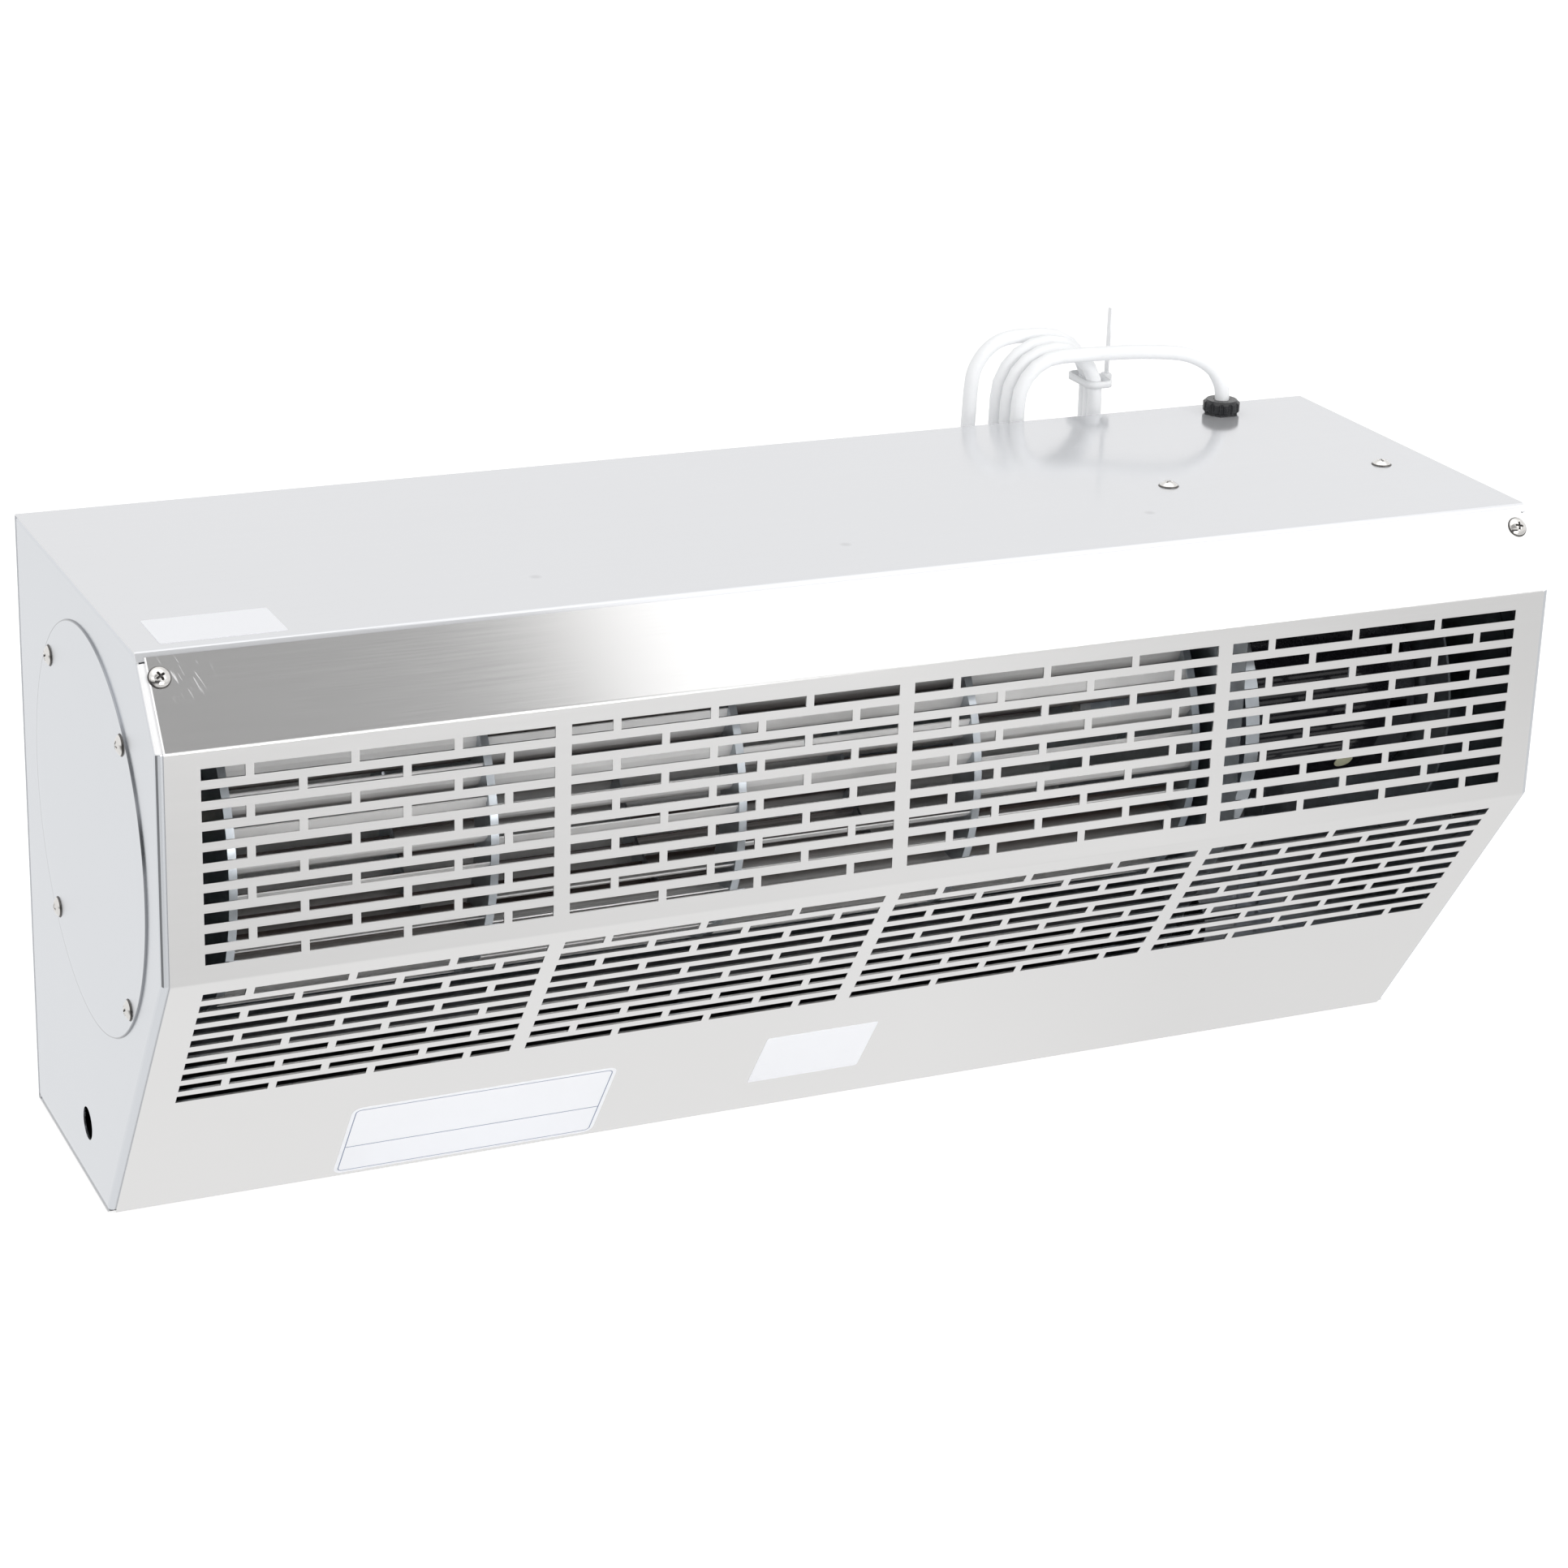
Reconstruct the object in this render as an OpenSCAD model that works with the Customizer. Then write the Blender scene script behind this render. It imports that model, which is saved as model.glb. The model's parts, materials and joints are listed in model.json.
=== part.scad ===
// Over-door air curtain: a bent stainless steel casing with a slotted front,
// a cross-flow fan wheel on its own motor, and two tilting discharge vanes.
// X runs along the casing, -Y is the front, +Z is up.
// The origin is on the base, under the middle of the casing.

/* [Casing] */
// Overall width of the casing
case_w = 914; // [860:1:1000]
// Overall height of the casing
case_h = 395; // [388:1:430]
// Depth of the casing, from the wall to the grille
case_d = 315; // [308:1:340]
// Depth of the flat top
top_d = 278; // [268:1:288]
// Depth of the flat base
base_d = 174; // [168:1:186]
// Height taken up by the chamfer
chamfer_h = 47; // [38:1:56]
// Height of the upright grille face
face_h = 140; // [134:1:150]
// Thickness of the casing sheet
sheet = 1.2; // [0.8:0.1:1.6]
// Outside radius of the sheet bends
bend_r = 3; // [2.4:0.1:4]
// Width of the flanges turned inwards
flange_w = 18; // [14:1:20]
// Bare bend of the end panel beside the front cover
seam_w = 4.5; // [3.5:0.5:8]
// Length of the lip under the chamfer
lip_l = 24; // [16:1:34]
// Bare bend between the top and the front cover
cover_drop = 3; // [2:0.5:6]

/* [Grille] */
// Groups of slots side by side
slot_groups = 4; // [3:1:5]
// Bare width outside the first and last group
grille_margin = 25; // [20:1:40]
// Bar between two groups
group_bar = 10; // [6:1:16]
// Rows of slots on each grille face
slot_rows = 10; // [6:1:10]
// Height of one slot
slot_h = 6.9; // [4:0.1:7.5]
// Bar between two rows
row_bar = 5.4; // [3.5:0.1:6.2]
// Bar between two slots of one row
slot_bar = 5; // [3:0.5:8]
// Bare strip above the first row
row_margin = 11; // [8:1:18]

/* [Fan wheel] */
// Distance of the wheel's axis from the wall
axis_back = 163; // [158:1:168]
// Distance of the wheel's axis below the top
axis_drop = 147; // [144:1:152]
// Outside radius of the blades
wheel_r = 114; // [104:1:116]
// Radial depth of the blades
blade_depth = 23; // [16:1:28]
// Blades around the wheel
blade_count = 36; // [24:1:40]
// Thickness of one blade
blade_t = 0.8; // [0.5:0.1:1.2]
// Angle by which a blade's tip runs ahead of its root
blade_lead = 7; // [4:0.5:10]
// Space between the left end face and the wheel
wheel_inset = 50; // [46:1:58]
// Space between the wheel and the bulkhead
wheel_gap = 8; // [6:1:10]
// Thickness of the wheel's discs and rings
disc_t = 1.6; // [1:0.1:2]
// Width of the rim rolled over on each disc and ring
rim_w = 5; // [4:0.5:7]
// Diameter of the wheel's shafts
shaft_d = 12.7; // [11:0.1:14]
// Diameter of the wheel's hubs
hub_d = 38; // [34:1:44]
// Length of the wheel's hubs
hub_l = 22; // [18:1:28]

/* [Air path] */
// Gap between the wheel and the start of the scroll
scroll_gap = 14; // [10:1:18]
// Gap between the wheel and the tongue
tongue_gap = 10; // [7:1:14]
// Distance of the outlet's back wall from the wall
outlet_back = 56; // [50:1:60]
// Depth of the outlet, front to back
outlet_d = 94; // [86:1:98]
// Height of the outlet's collar
collar_h = 56; // [52:1:64]
// Distance of the outlet from the left end face
outlet_left = 34; // [32:1:44]
// Distance of the outlet from the bulkhead
outlet_right = 16; // [15:1:24]
// Width of the outlet collar's flange
collar_flange = 12; // [8:1:13]

/* [Vanes] */
// Chord of one vane
vane_chord = 40; // [34:1:42]
// Thickness of one vane at its pivot
vane_t = 7; // [6:0.5:8]
// Height of the vanes' pivots above the base
vane_z = 30; // [28:1:32]
// Distance between the two vanes
vane_pitch = 44; // [40:1:46]
// Diameter of the vanes' pins
vane_pin_d = 5; // [4:0.5:5.5]
// Gap between a vane's end and the collar
vane_gap = 1; // [0.5:0.1:2]

/* [Motor] */
// Width of the motor compartment
motor_bay = 222; // [218:1:230]
// Diameter of the motor's shell
motor_d = 142; // [130:1:150]
// Distance from the right end face to the right bracket
bracket_right = 35; // [32:1:38]
// Distance between the two brackets, over their outer faces
bracket_span = 155; // [150:1:160]
// Radius of the bracket plates
bracket_r = 106; // [100:1:112]
// Thickness of the bracket plates
bracket_t = 1.6; // [1.2:0.1:2.5]
// Width of the rim on the left bracket
bracket_rim = 10; // [6:1:12]
// Length of one end cap of the motor
cap_l = 26; // [20:1:32]
// Width of the strap by which a bracket hangs
hanger_w = 70; // [50:1:90]
// Distance of the top screws from the wall
top_screw_back = 171; // [165:1:178]
// Diameter of the capacitor
capacitor_d = 42; // [34:1:46]
// Length of the capacitor
capacitor_l = 84; // [70:1:100]

/* [End covers] */
// Radius of the round covers in the end panels
cover_r = 124; // [120:1:128]
// Diameter of the circle of screws that holds a cover
cover_pcd = 231; // [226:1:234]
// Radius of the opening behind a cover
access_r = 104; // [98:1:106]
// Distance of the conduit hole from the wall
conduit_back = 130; // [60:1:136]
// Height of the conduit hole
conduit_z = 41; // [34:1:60]
// Diameter of the conduit hole
conduit_d = 21; // [20:0.1:28]
// Width of the bearing's strap
strap_w = 44; // [40:1:50]
// Depth of the bearing's strap
strap_d = 24; // [22:1:26]

/* [Fasteners and wall holes] */
// Diameter of a screw's head
head_d = 13.5; // [11:0.5:14]
// Height of a screw's head
head_h = 3.4; // [2.5:0.1:4]
// Diameter of a screw's thread
screw_d = 4.8; // [4:0.1:5.4]
// Length of a screw under its head
screw_l = 9; // [7:1:12]
// Diameter of the wall holes
wall_hole_d = 8; // [6:0.5:10]
// Distance between the wall holes, side to side
wall_hole_w = 610; // [500:1:700]
// Distance between the wall holes, top to bottom
wall_hole_h = 254; // [200:1:280]
// Height of the lower wall holes
wall_hole_z = 70; // [50:1:90]

/* [Cord and gland] */
// Diameter of the cord
cord_d = 10; // [8:0.1:10.4]
// Distance of the gland from the right end face
gland_right = 78; // [74:1:82]
// Distance of the gland from the wall
gland_back = 25.6; // [22:0.1:30]
// Diameter of the gland's nut
gland_d = 25.5; // [24:0.5:28]
// Height of the gland's nut
gland_h = 8.5; // [7:0.5:12]
// Height of the gland's hexagon
gland_hex_h = 1.5; // [1:0.5:4]
// Diameter of the gland's thread
gland_thread_d = 20; // [18:0.5:21]

/* [Hidden] */

$fn = 96;
// Straight steps along each bend of a sheet
bend_steps = 4;
// Gap left between two sheets that lap
lap = 0.1;
// Radial clearance of a turning shaft, and of a screw in its hole
run_gap = 0.05;
screw_gap = 0.2;
// Extra length of a cutting shape
cut = 1;

steel = [0.86, 0.87, 0.88];
steel_side = [0.83, 0.85, 0.87];
zinc = [0.72, 0.74, 0.76];
blade_alu = [0.84, 0.84, 0.82];
black = [0.08, 0.08, 0.09];
rubber = [0.12, 0.12, 0.12];
bronze = [0.62, 0.48, 0.28];
white = [0.93, 0.94, 0.95];

left_x = -case_w / 2;
right_x = case_w / 2;
wall_y = case_d / 2;
front_y = -case_d / 2;
slant_z = case_h - chamfer_h - face_h;
axis_y = wall_y - axis_back;
axis_z = case_h - axis_drop;
bulkhead_x = right_x - motor_bay;
wheel_left = left_x + wheel_inset;
wheel_right = bulkhead_x - wheel_gap;
wheel_sections = 4;
section_l = (wheel_right - wheel_left - disc_t) / wheel_sections;
outlet_back_y = wall_y - outlet_back;
outlet_front_y = outlet_back_y - outlet_d;
outlet_x0 = left_x + outlet_left;
outlet_x1 = bulkhead_x - outlet_right;
vane_mid_y = (outlet_back_y + outlet_front_y) / 2;
bracket_x1 = right_x - bracket_right;
bracket_x0 = bracket_x1 - bracket_span;
top_screw_y = wall_y - top_screw_back;
gland_x = right_x - gland_right;
gland_y = wall_y - gland_back;

// Corners of the casing's cross-section, from the wall up, over and down the front
corners = [[wall_y, 0], [wall_y, case_h], [wall_y - top_d, case_h], [front_y, case_h - chamfer_h],
    [front_y, slant_z], [wall_y - base_d, 0]];
chamfer_dir = unit(corners[3] - corners[2]);
slant_dir = unit(corners[5] - corners[4]);
// Where the top sheet turns down under the front cover, and where the base turns up under it
top_edge = corners[2] + [(sheet + lap) / abs(chamfer_dir[1]), 0];
base_edge = corners[5] + [(sheet + lap) / abs(slant_dir[1]), 0];

// ---- Outlines of bent sheet ----

function unit(v) = v / norm(v);
function left_of(v) = [-v[1], v[0]];
function reversed(p) = [for (i = [len(p) - 1 : -1 : 0]) p[i]];
function polar(r, a) = [axis_y + r * cos(a), axis_z + r * sin(a)];
function turns_left(a, b, c) = (b - a)[0] * (c - b)[1] - (b - a)[1] * (c - b)[0] > 0;

// The corner a-b-c of a line that is moved t to its left
function mitre(a, b, c, t) =
    let (m = left_of(unit(b - a)), n = left_of(unit(c - b)))
    b + t * (m + n) / (1 + m * n);

// An open line moved t to its left
function moved(p, t) =
    let (e = len(p) - 1)
    [for (i = [0 : e])
        i == 0 ? p[0] + t * left_of(unit(p[1] - p[0]))
        : i == e ? p[e] + t * left_of(unit(p[e] - p[e - 1]))
        : mitre(p[i - 1], p[i], p[i + 1], t)];

// The corner a-b-c rounded to radius r
function corner(a, b, c, r, steps = bend_steps) =
    let (u = unit(a - b),
        v = unit(c - b),
        half = acos(u * v) / 2,
        sweep = 180 - 2 * half,
        mid = b + unit(u + v) * r / sin(half),
        s = b + u * r / tan(half) - mid,
        e = b + v * r / tan(half) - mid)
    [for (k = [0 : steps])
        let (f = k / steps)
        mid + (s * sin((1 - f) * sweep) + e * sin(f * sweep)) / sin(sweep)];

function bent(p, left_r, right_r) =
    concat([p[0]],
        [for (i = [1 : len(p) - 2])
            each corner(p[i - 1], p[i], p[i + 1],
                turns_left(p[i - 1], p[i], p[i + 1]) ? left_r : right_r)],
        [p[len(p) - 1]]);

// Cross-section of a sheet of thickness t whose right-hand face follows p
function strip(p, t) =
    concat(bent(p, bend_r, bend_r - t), reversed(bent(moved(p, t), bend_r - t, bend_r)));

// The casing's closed outline, moved inwards, with rounded corners
function outline(inset) =
    let (n = len(corners),
        p = [for (i = [0 : n - 1])
            mitre(corners[(i + n - 1) % n], corners[i], corners[(i + 1) % n], inset)],
        r = max(bend_r - inset, 0.4))
    [for (i = [0 : n - 1]) each corner(p[(i + n - 1) % n], p[i], p[(i + 1) % n], r, 2)];

// A shape drawn in the Y-Z plane, run from x0 to x1
module across(x0, x1) {
    translate([x0, 0, 0])
        rotate([90, 0, 90])
            linear_extrude(x1 - x0)
                children();
}

// Puts children, drawn around Z, on the wheel's axis with Z along X
module on_axis(x) {
    translate([x, axis_y, axis_z])
        rotate([0, 90, 0])
            children();
}

// Children on the front faces: X along the casing, Y up the face, Z outwards
module on_face(top, down) {
    rise = atan2(-down[1], -down[0]);
    translate([0, top[0], top[1]])
        rotate([rise, 0, 0])
            children();
}

// ---- Casing ----

// A plate with the casing's outline: flat face at x = 0, edge rounded to r, sides up to depth
module pan_solid(inset, r, depth) {
    levels = concat([for (a = [0 : 30 : 90]) [r * (1 - cos(a)), inset + r * (1 - sin(a))]],
        [[depth, inset]]);
    n = len(outline(inset));
    top = len(levels) - 1;
    points = [for (l = levels, p = outline(l[1])) [l[0], p[0], p[1]]];
    walls = [for (i = [0 : top - 1], k = [0 : n - 1])
        let (a = i * n + k,
            b = i * n + (k + 1) % n)
        each [[a, a + n, b + n], [a, b + n, b]]];
    ends = [[for (k = [0 : n - 1]) k], [for (k = [n - 1 : -1 : 0]) top * n + k]];
    polyhedron(points = points, faces = concat(walls, ends));
}

module pan(depth) {
    difference() {
        pan_solid(sheet + lap, bend_r, depth);
        translate([sheet, 0, 0])
            pan_solid(2 * sheet + lap, bend_r - sheet, depth + cut);
    }
}

// The lip under the chamfer is whole this far down beside the end panels
lip_start = cover_drop + 2;
// Depth, below the cover's face, that a panel leaves free for the lip
lip_room = 2 * sheet + 6 * lap;

// A band across the chamfer, from up above its top bend to down below it
module chamfer_band(x0, x1, up, down, depth) {
    translate([x0, 0, 0])
        on_face(corners[2], chamfer_dir)
            translate([0, -down, -depth])
                cube([x1 - x0, up + down, depth + cut]);
}

module wall_holes() {
    for (x = [-1, 1], z = [wall_hole_z, wall_hole_z + wall_hole_h])
        translate([x * wall_hole_w / 2, wall_y + cut, z])
            rotate([90, 0, 0])
                cylinder(d = wall_hole_d, h = sheet + 2 * cut);
}

module casing_wrap() {
    line = [corners[0], corners[1], top_edge, top_edge + lip_l * chamfer_dir];
    color(steel)
        difference() {
            across(left_x, right_x)
                polygon(strip(line, sheet));
            for (x = [left_x - cut, right_x - flange_w - cut])
                chamfer_band(x, x + flange_w + 2 * cut, -lip_start, lip_l + bend_r, 3 * sheet);
            wall_holes();
            translate([gland_x, gland_y, case_h - sheet - cut])
                cylinder(d = gland_thread_d + 2 * screw_gap, h = sheet + 2 * cut);
            top_screw_places()
                translate([0, 0, -sheet - cut])
                    cylinder(d = screw_d + 2 * screw_gap, h = sheet + 2 * cut);
        }
}

module end_panel() {
    difference() {
        pan(flange_w);
        translate([-cut, axis_y, axis_z])
            rotate([0, 90, 0])
                cylinder(r = access_r, h = sheet + 2 * cut);
        end_screw_places()
            translate([0, 0, -cut])
                cylinder(d = screw_d + 2 * screw_gap, h = sheet + 2 * cut);
        corner_screw_hole(0);
        chamfer_band(-cut, flange_w + cut, bend_r + cut, lip_start + cut, lip_room);
    }
}

// The front cover's corner screws: seen from the end panel's own face
module corner_screw_hole(x) {
    translate([x + corner_screw_x, 0, 0])
        on_face(corners[2], chamfer_dir)
            translate([0, -corner_screw_drop, -4 * sheet])
                cylinder(d = screw_d + 2 * screw_gap, h = 6 * sheet);
}

module end_panel_left() {
    color(steel_side)
        translate([left_x, 0, 0])
            difference() {
                end_panel();
                translate([-cut, wall_y - conduit_back, conduit_z])
                    rotate([0, 90, 0])
                        cylinder(d = conduit_d, h = sheet + 2 * cut);
            }
}

module end_panel_right() {
    color(steel_side)
        translate([right_x, 0, 0])
            mirror([1, 0, 0])
                end_panel();
}

// One face's slots, Y downwards from the bend as negative values
cover_w = case_w - 2 * seam_w;
group_w = (case_w - 2 * grille_margin - (slot_groups - 1) * group_bar) / slot_groups;
slot_w = (group_w - 2.5 * slot_bar) / 3.5;
short_w = group_w - 3 * (slot_w + slot_bar);
corner_screw_x = 10.8;
corner_screw_drop = 15.5;

module slot_row(short_first) {
    start = short_first ? short_w + slot_bar : 0;
    translate([short_first ? 0 : 3 * (slot_w + slot_bar), 0])
        square([short_w, slot_h]);
    for (k = [0 : 2])
        translate([start + k * (slot_w + slot_bar), 0])
            square([slot_w, slot_h]);
}

module face_slots() {
    for (g = [0 : slot_groups - 1], row = [0 : slot_rows - 1])
        translate([left_x + grille_margin + g * (group_w + group_bar),
                -row_margin - slot_h - row * (slot_h + row_bar)])
            slot_row(row % 2 == 0);
}

module slot_cuts(top, down) {
    on_face(top, down)
        translate([0, 0, -2 * sheet])
            linear_extrude(3 * sheet)
                face_slots();
}

module front_cover() {
    line = [corners[2] + cover_drop * chamfer_dir, corners[3], corners[4], corners[5]];
    color(steel)
        difference() {
            across(-cover_w / 2, cover_w / 2)
                polygon(strip(line, sheet));
            slot_cuts(corners[3], [0, -1]);
            slot_cuts(corners[4], slant_dir);
            for (side = [-1, 1])
                corner_screw_hole(side * (case_w / 2 - corner_screw_x) - corner_screw_x);
        }
}

module base_panel() {
    up = flange_w;
    line = [base_edge - up * slant_dir, base_edge, [wall_y - sheet - lap, 0],
        [wall_y - sheet - lap, up]];
    color(steel)
        difference() {
            across(left_x, right_x)
                polygon(strip(line, sheet));
            for (x = [left_x - cut, right_x - flange_w - cut])
                translate([x, front_y, sheet])
                    cube([flange_w + 2 * cut, case_d, up + bend_r]);
            translate([bulkhead_x - flange_w - cut, front_y, sheet])
                cube([flange_w + sheet + 2 * cut, case_d, up + bend_r]);
            translate([outlet_x0, outlet_front_y, -cut])
                cube([outlet_x1 - outlet_x0, outlet_d, sheet + 2 * cut]);
        }
}

bulkhead_hole_d = hub_d + 12;

// Its flange is turned only behind the outlet collar
module bulkhead() {
    flange_y = outlet_back_y + collar_flange + cut;
    color(zinc)
        translate([bulkhead_x + sheet, 0, 0])
            mirror([1, 0, 0])
                difference() {
                    pan(flange_w);
                    translate([sheet, front_y - cut, -cut])
                        cube([flange_w + cut, flange_y - front_y + cut, case_h + 2 * cut]);
                    translate([-cut, axis_y, axis_z])
                        rotate([0, 90, 0])
                            cylinder(d = bulkhead_hole_d, h = sheet + 2 * cut);
                    chamfer_band(-cut, flange_w + cut, bend_r + cut, lip_l + 2 * cut, lip_room);
                }
}

// ---- Round covers in the end panels ----

module end_screw_places() {
    for (a = [45 : 90 : 315])
        translate([0, axis_y + cover_pcd / 2 * cos(a), axis_z + cover_pcd / 2 * sin(a)])
            rotate([0, 90, 0])
                children();
}

module end_cover() {
    color(steel_side)
        difference() {
            translate([-sheet, axis_y, axis_z])
                rotate([0, 90, 0])
                    cylinder(r = cover_r, h = sheet);
            translate([-sheet - cut, 0, 0])
                end_screw_places()
                    cylinder(d = screw_d + 2 * screw_gap, h = sheet + 2 * cut);
        }
}

// A truss-head screw, its head above z = 0 and its thread below
module screw(length) {
    ball_r = (head_d * head_d / 4 + head_h * head_h) / (2 * head_h);
    color(zinc) {
        intersection() {
            translate([0, 0, head_h - ball_r])
                sphere(r = ball_r);
            cylinder(d = head_d, h = head_h);
        }
        translate([0, 0, -length])
            cylinder(d = screw_d, h = length + 0.01);
    }
}

module end_screws() {
    translate([-sheet, 0, 0])
        end_screw_places()
            rotate([180, 0, 0])
                screw(screw_l);
}

module end_cover_left() {
    translate([left_x, 0, 0])
        end_cover();
}

module end_cover_right() {
    translate([right_x, 0, 0])
        mirror([1, 0, 0])
            end_cover();
}

module end_cover_screws_left() {
    translate([left_x, 0, 0])
        end_screws();
}

module end_cover_screws_right() {
    translate([right_x, 0, 0])
        mirror([1, 0, 0])
            end_screws();
}

module front_cover_screws() {
    for (side = [-1, 1])
        translate([side * (case_w / 2 - corner_screw_x), 0, 0])
            on_face(corners[2], chamfer_dir)
                translate([0, -corner_screw_drop, 0])
                    screw(screw_l);
}

// ---- Air path ----

// The scroll opens evenly from above the wheel round the back to the outlet
scroll_from = 115;
scroll_to = -45;
scroll_steps = 16;
duct_back_y = outlet_back_y + sheet + lap;
duct_front_y = outlet_front_y - sheet - lap;
scroll_r0 = wheel_r + scroll_gap;
scroll_r1 = (duct_back_y - axis_y) / cos(scroll_to);
collar_top = sheet + collar_h;
duct_foot = collar_top / 2;

module rear_scroll() {
    arc = [for (k = [0 : scroll_steps])
        let (f = k / scroll_steps)
        polar(scroll_r0 + f * (scroll_r1 - scroll_r0), scroll_from + f * (scroll_to - scroll_from))];
    line = concat(arc, [[duct_back_y, duct_foot]]);
    color(zinc)
        across(left_x + sheet, bulkhead_x)
            polygon(concat(line, reversed(moved(line, sheet))));
}

module tongue_plate() {
    tip = polar(wheel_r + tongue_gap, 240);
    line = [[duct_front_y, duct_foot], [duct_front_y, collar_top + 4], tip, tip + [-20, -9]];
    color(zinc)
        across(left_x + sheet, bulkhead_x)
            polygon(strip(line, sheet));
}

module vane_places() {
    for (s = [-1, 1])
        translate([0, vane_mid_y + s * vane_pitch / 2, vane_z])
            children();
}

module outlet_collar() {
    length = outlet_x1 - outlet_x0;
    color(zinc)
        difference() {
            union() {
                translate([outlet_x0 - sheet, outlet_front_y - sheet, sheet])
                    cube([length + 2 * sheet, outlet_d + 2 * sheet, collar_h]);
                translate([outlet_x0 - collar_flange, outlet_front_y - collar_flange, sheet])
                    cube([length + 2 * collar_flange, outlet_d + 2 * collar_flange, sheet]);
            }
            translate([outlet_x0, outlet_front_y, 0])
                cube([length, outlet_d, collar_h + 2 * sheet]);
            vane_places()
                translate([outlet_x0 - 2 * sheet, 0, 0])
                    rotate([0, 90, 0])
                        cylinder(d = vane_pin_d + 2 * run_gap, h = length + 4 * sheet);
        }
}

// ---- Left bearing ----

bearing_l = 20;
bearing_d = 26;
rubber_d = 40;
// The rubber's groove, which holds the strap's edge, and the band on each side of it
groove_depth = 2;
groove_side = 4;
groove_w = sheet + 2 * lap;
rubber_x = left_x + strap_d - lap - groove_side;
sleeve_x = rubber_x + groove_side + groove_w / 2 - bearing_l / 2;
// Length of shaft beyond a hub, and its distance from the motor's end
shaft_end = 4;

module bearing_strap() {
    half = access_r + 6;
    foot = 14;
    ramp = 8;
    line = [[axis_y - half - foot, sheet], [axis_y - half, sheet], [axis_y - half + ramp, strap_d],
        [axis_y + half - ramp, strap_d], [axis_y + half, sheet], [axis_y + half + foot, sheet]];
    color(zinc)
        difference() {
            translate([left_x, 0, axis_z - strap_w / 2])
                rotate([0, 0, 90])
                    mirror([0, 1, 0])
                        linear_extrude(strap_w)
                            polygon(strip(line, sheet));
            on_axis(left_x)
                cylinder(d = rubber_d - 2 * groove_depth + 2 * lap, h = 2 * strap_d);
        }
}

module bearing_rubber() {
    inside = rubber_d / 2 - groove_depth;
    far = groove_side + groove_w;
    top = far + groove_side;
    color(rubber)
        on_axis(rubber_x)
            rotate_extrude()
                polygon([[bearing_d / 2, 0], [rubber_d / 2, 0], [rubber_d / 2, groove_side],
                    [inside, groove_side], [inside, far], [rubber_d / 2, far],
                    [rubber_d / 2, top], [bearing_d / 2, top]]);
}

module bearing_sleeve() {
    color(bronze)
        on_axis(sleeve_x)
            difference() {
                cylinder(d = bearing_d, h = bearing_l);
                translate([0, 0, -cut])
                    cylinder(d = shaft_d + 2 * run_gap, h = bearing_l + 2 * cut);
            }
}

// ---- Fan wheel ----

blade_root_r = wheel_r - blade_depth;
rim_gap = 0.3;
rim_r = wheel_r + rim_gap + disc_t;
// Depth of a ring inside the blades' roots
ring_inside = 4;

// A ring or disc with a rim rolled over towards +X
module wheel_plate(hole_r) {
    rotate_extrude()
        polygon([[hole_r, 0], [rim_r, 0], [rim_r, rim_w], [rim_r - disc_t, rim_w],
            [rim_r - disc_t, disc_t], [hole_r, disc_t]]);
}

module wheel_ring(k) {
    color(zinc)
        on_axis(wheel_left + k * section_l)
            wheel_plate(blade_root_r - ring_inside);
}

module wheel_disc() {
    wheel_plate(shaft_d / 2 + run_gap);
}

module wheel_disc_left() {
    color(zinc)
        on_axis(wheel_left)
            wheel_disc();
}

module wheel_disc_right() {
    color(zinc)
        on_axis(wheel_right)
            mirror([0, 0, 1])
                wheel_disc();
}

// One blade: a shallow arc whose tip runs ahead of its root; the wheel turns up at the front
blade_steps = 5;
blade_turn = 35;
function blade_point(f, out) =
    let (r = blade_root_r + f * blade_depth,
        a = blade_lead * f * f,
        p = [r * cos(a), -r * sin(a)],
        q = [sin(a + blade_turn * f), cos(a + blade_turn * f)])
    p + out * q;

module blade_profile() {
    polygon(concat([for (k = [0 : blade_steps]) blade_point(k / blade_steps, blade_t / 2)],
        [for (k = [blade_steps : -1 : 0]) blade_point(k / blade_steps, -blade_t / 2)]));
}

module wheel_blades(k) {
    first = wheel_left + k * section_l + disc_t;
    color(blade_alu)
        on_axis(first)
            for (i = [0 : blade_count - 1])
                rotate([0, 0, (i + k / wheel_sections) * 360 / blade_count])
                    linear_extrude(section_l - disc_t)
                        blade_profile();
}

module wheel_hub() {
    rotate_extrude()
        polygon([[shaft_d / 2 + run_gap, disc_t], [hub_d / 2 + 8, disc_t], [hub_d / 2 + 8, disc_t + 3],
            [hub_d / 2 - 6, disc_t + 5], [hub_d / 2 - 6, hub_l], [shaft_d / 2 + run_gap, hub_l]]);
}

module wheel_hub_left() {
    color(zinc)
        on_axis(wheel_left)
            wheel_hub();
}

set_screw_d = 5;
set_screw_x = wheel_right - hub_l + 6;

module wheel_hub_right() {
    color(zinc)
        difference() {
            on_axis(wheel_right)
                mirror([0, 0, 1])
                    wheel_hub();
            translate([set_screw_x, axis_y, axis_z])
                cylinder(d = set_screw_d, h = hub_d);
        }
}

module hub_set_screw() {
    color(zinc)
        translate([set_screw_x, axis_y, axis_z + shaft_d / 2 + run_gap])
            cylinder(d = set_screw_d - 2 * run_gap, h = hub_d / 2 - shaft_d / 2 - 5);
}

module wheel_stub_shaft() {
    color(zinc)
        on_axis(sleeve_x)
            cylinder(d = shaft_d, h = wheel_left + hub_l + shaft_end - sleeve_x);
}

module motor_shaft() {
    color(zinc)
        on_axis(wheel_right - hub_l - shaft_end)
            cylinder(d = shaft_d, h = cap_x1 - shaft_end - (wheel_right - hub_l - shaft_end));
}

// ---- Motor ----

hanger_gap = 1;
hanger_flange = min(flange_w, bracket_x0 - bulkhead_x - sheet - hanger_gap);
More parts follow.
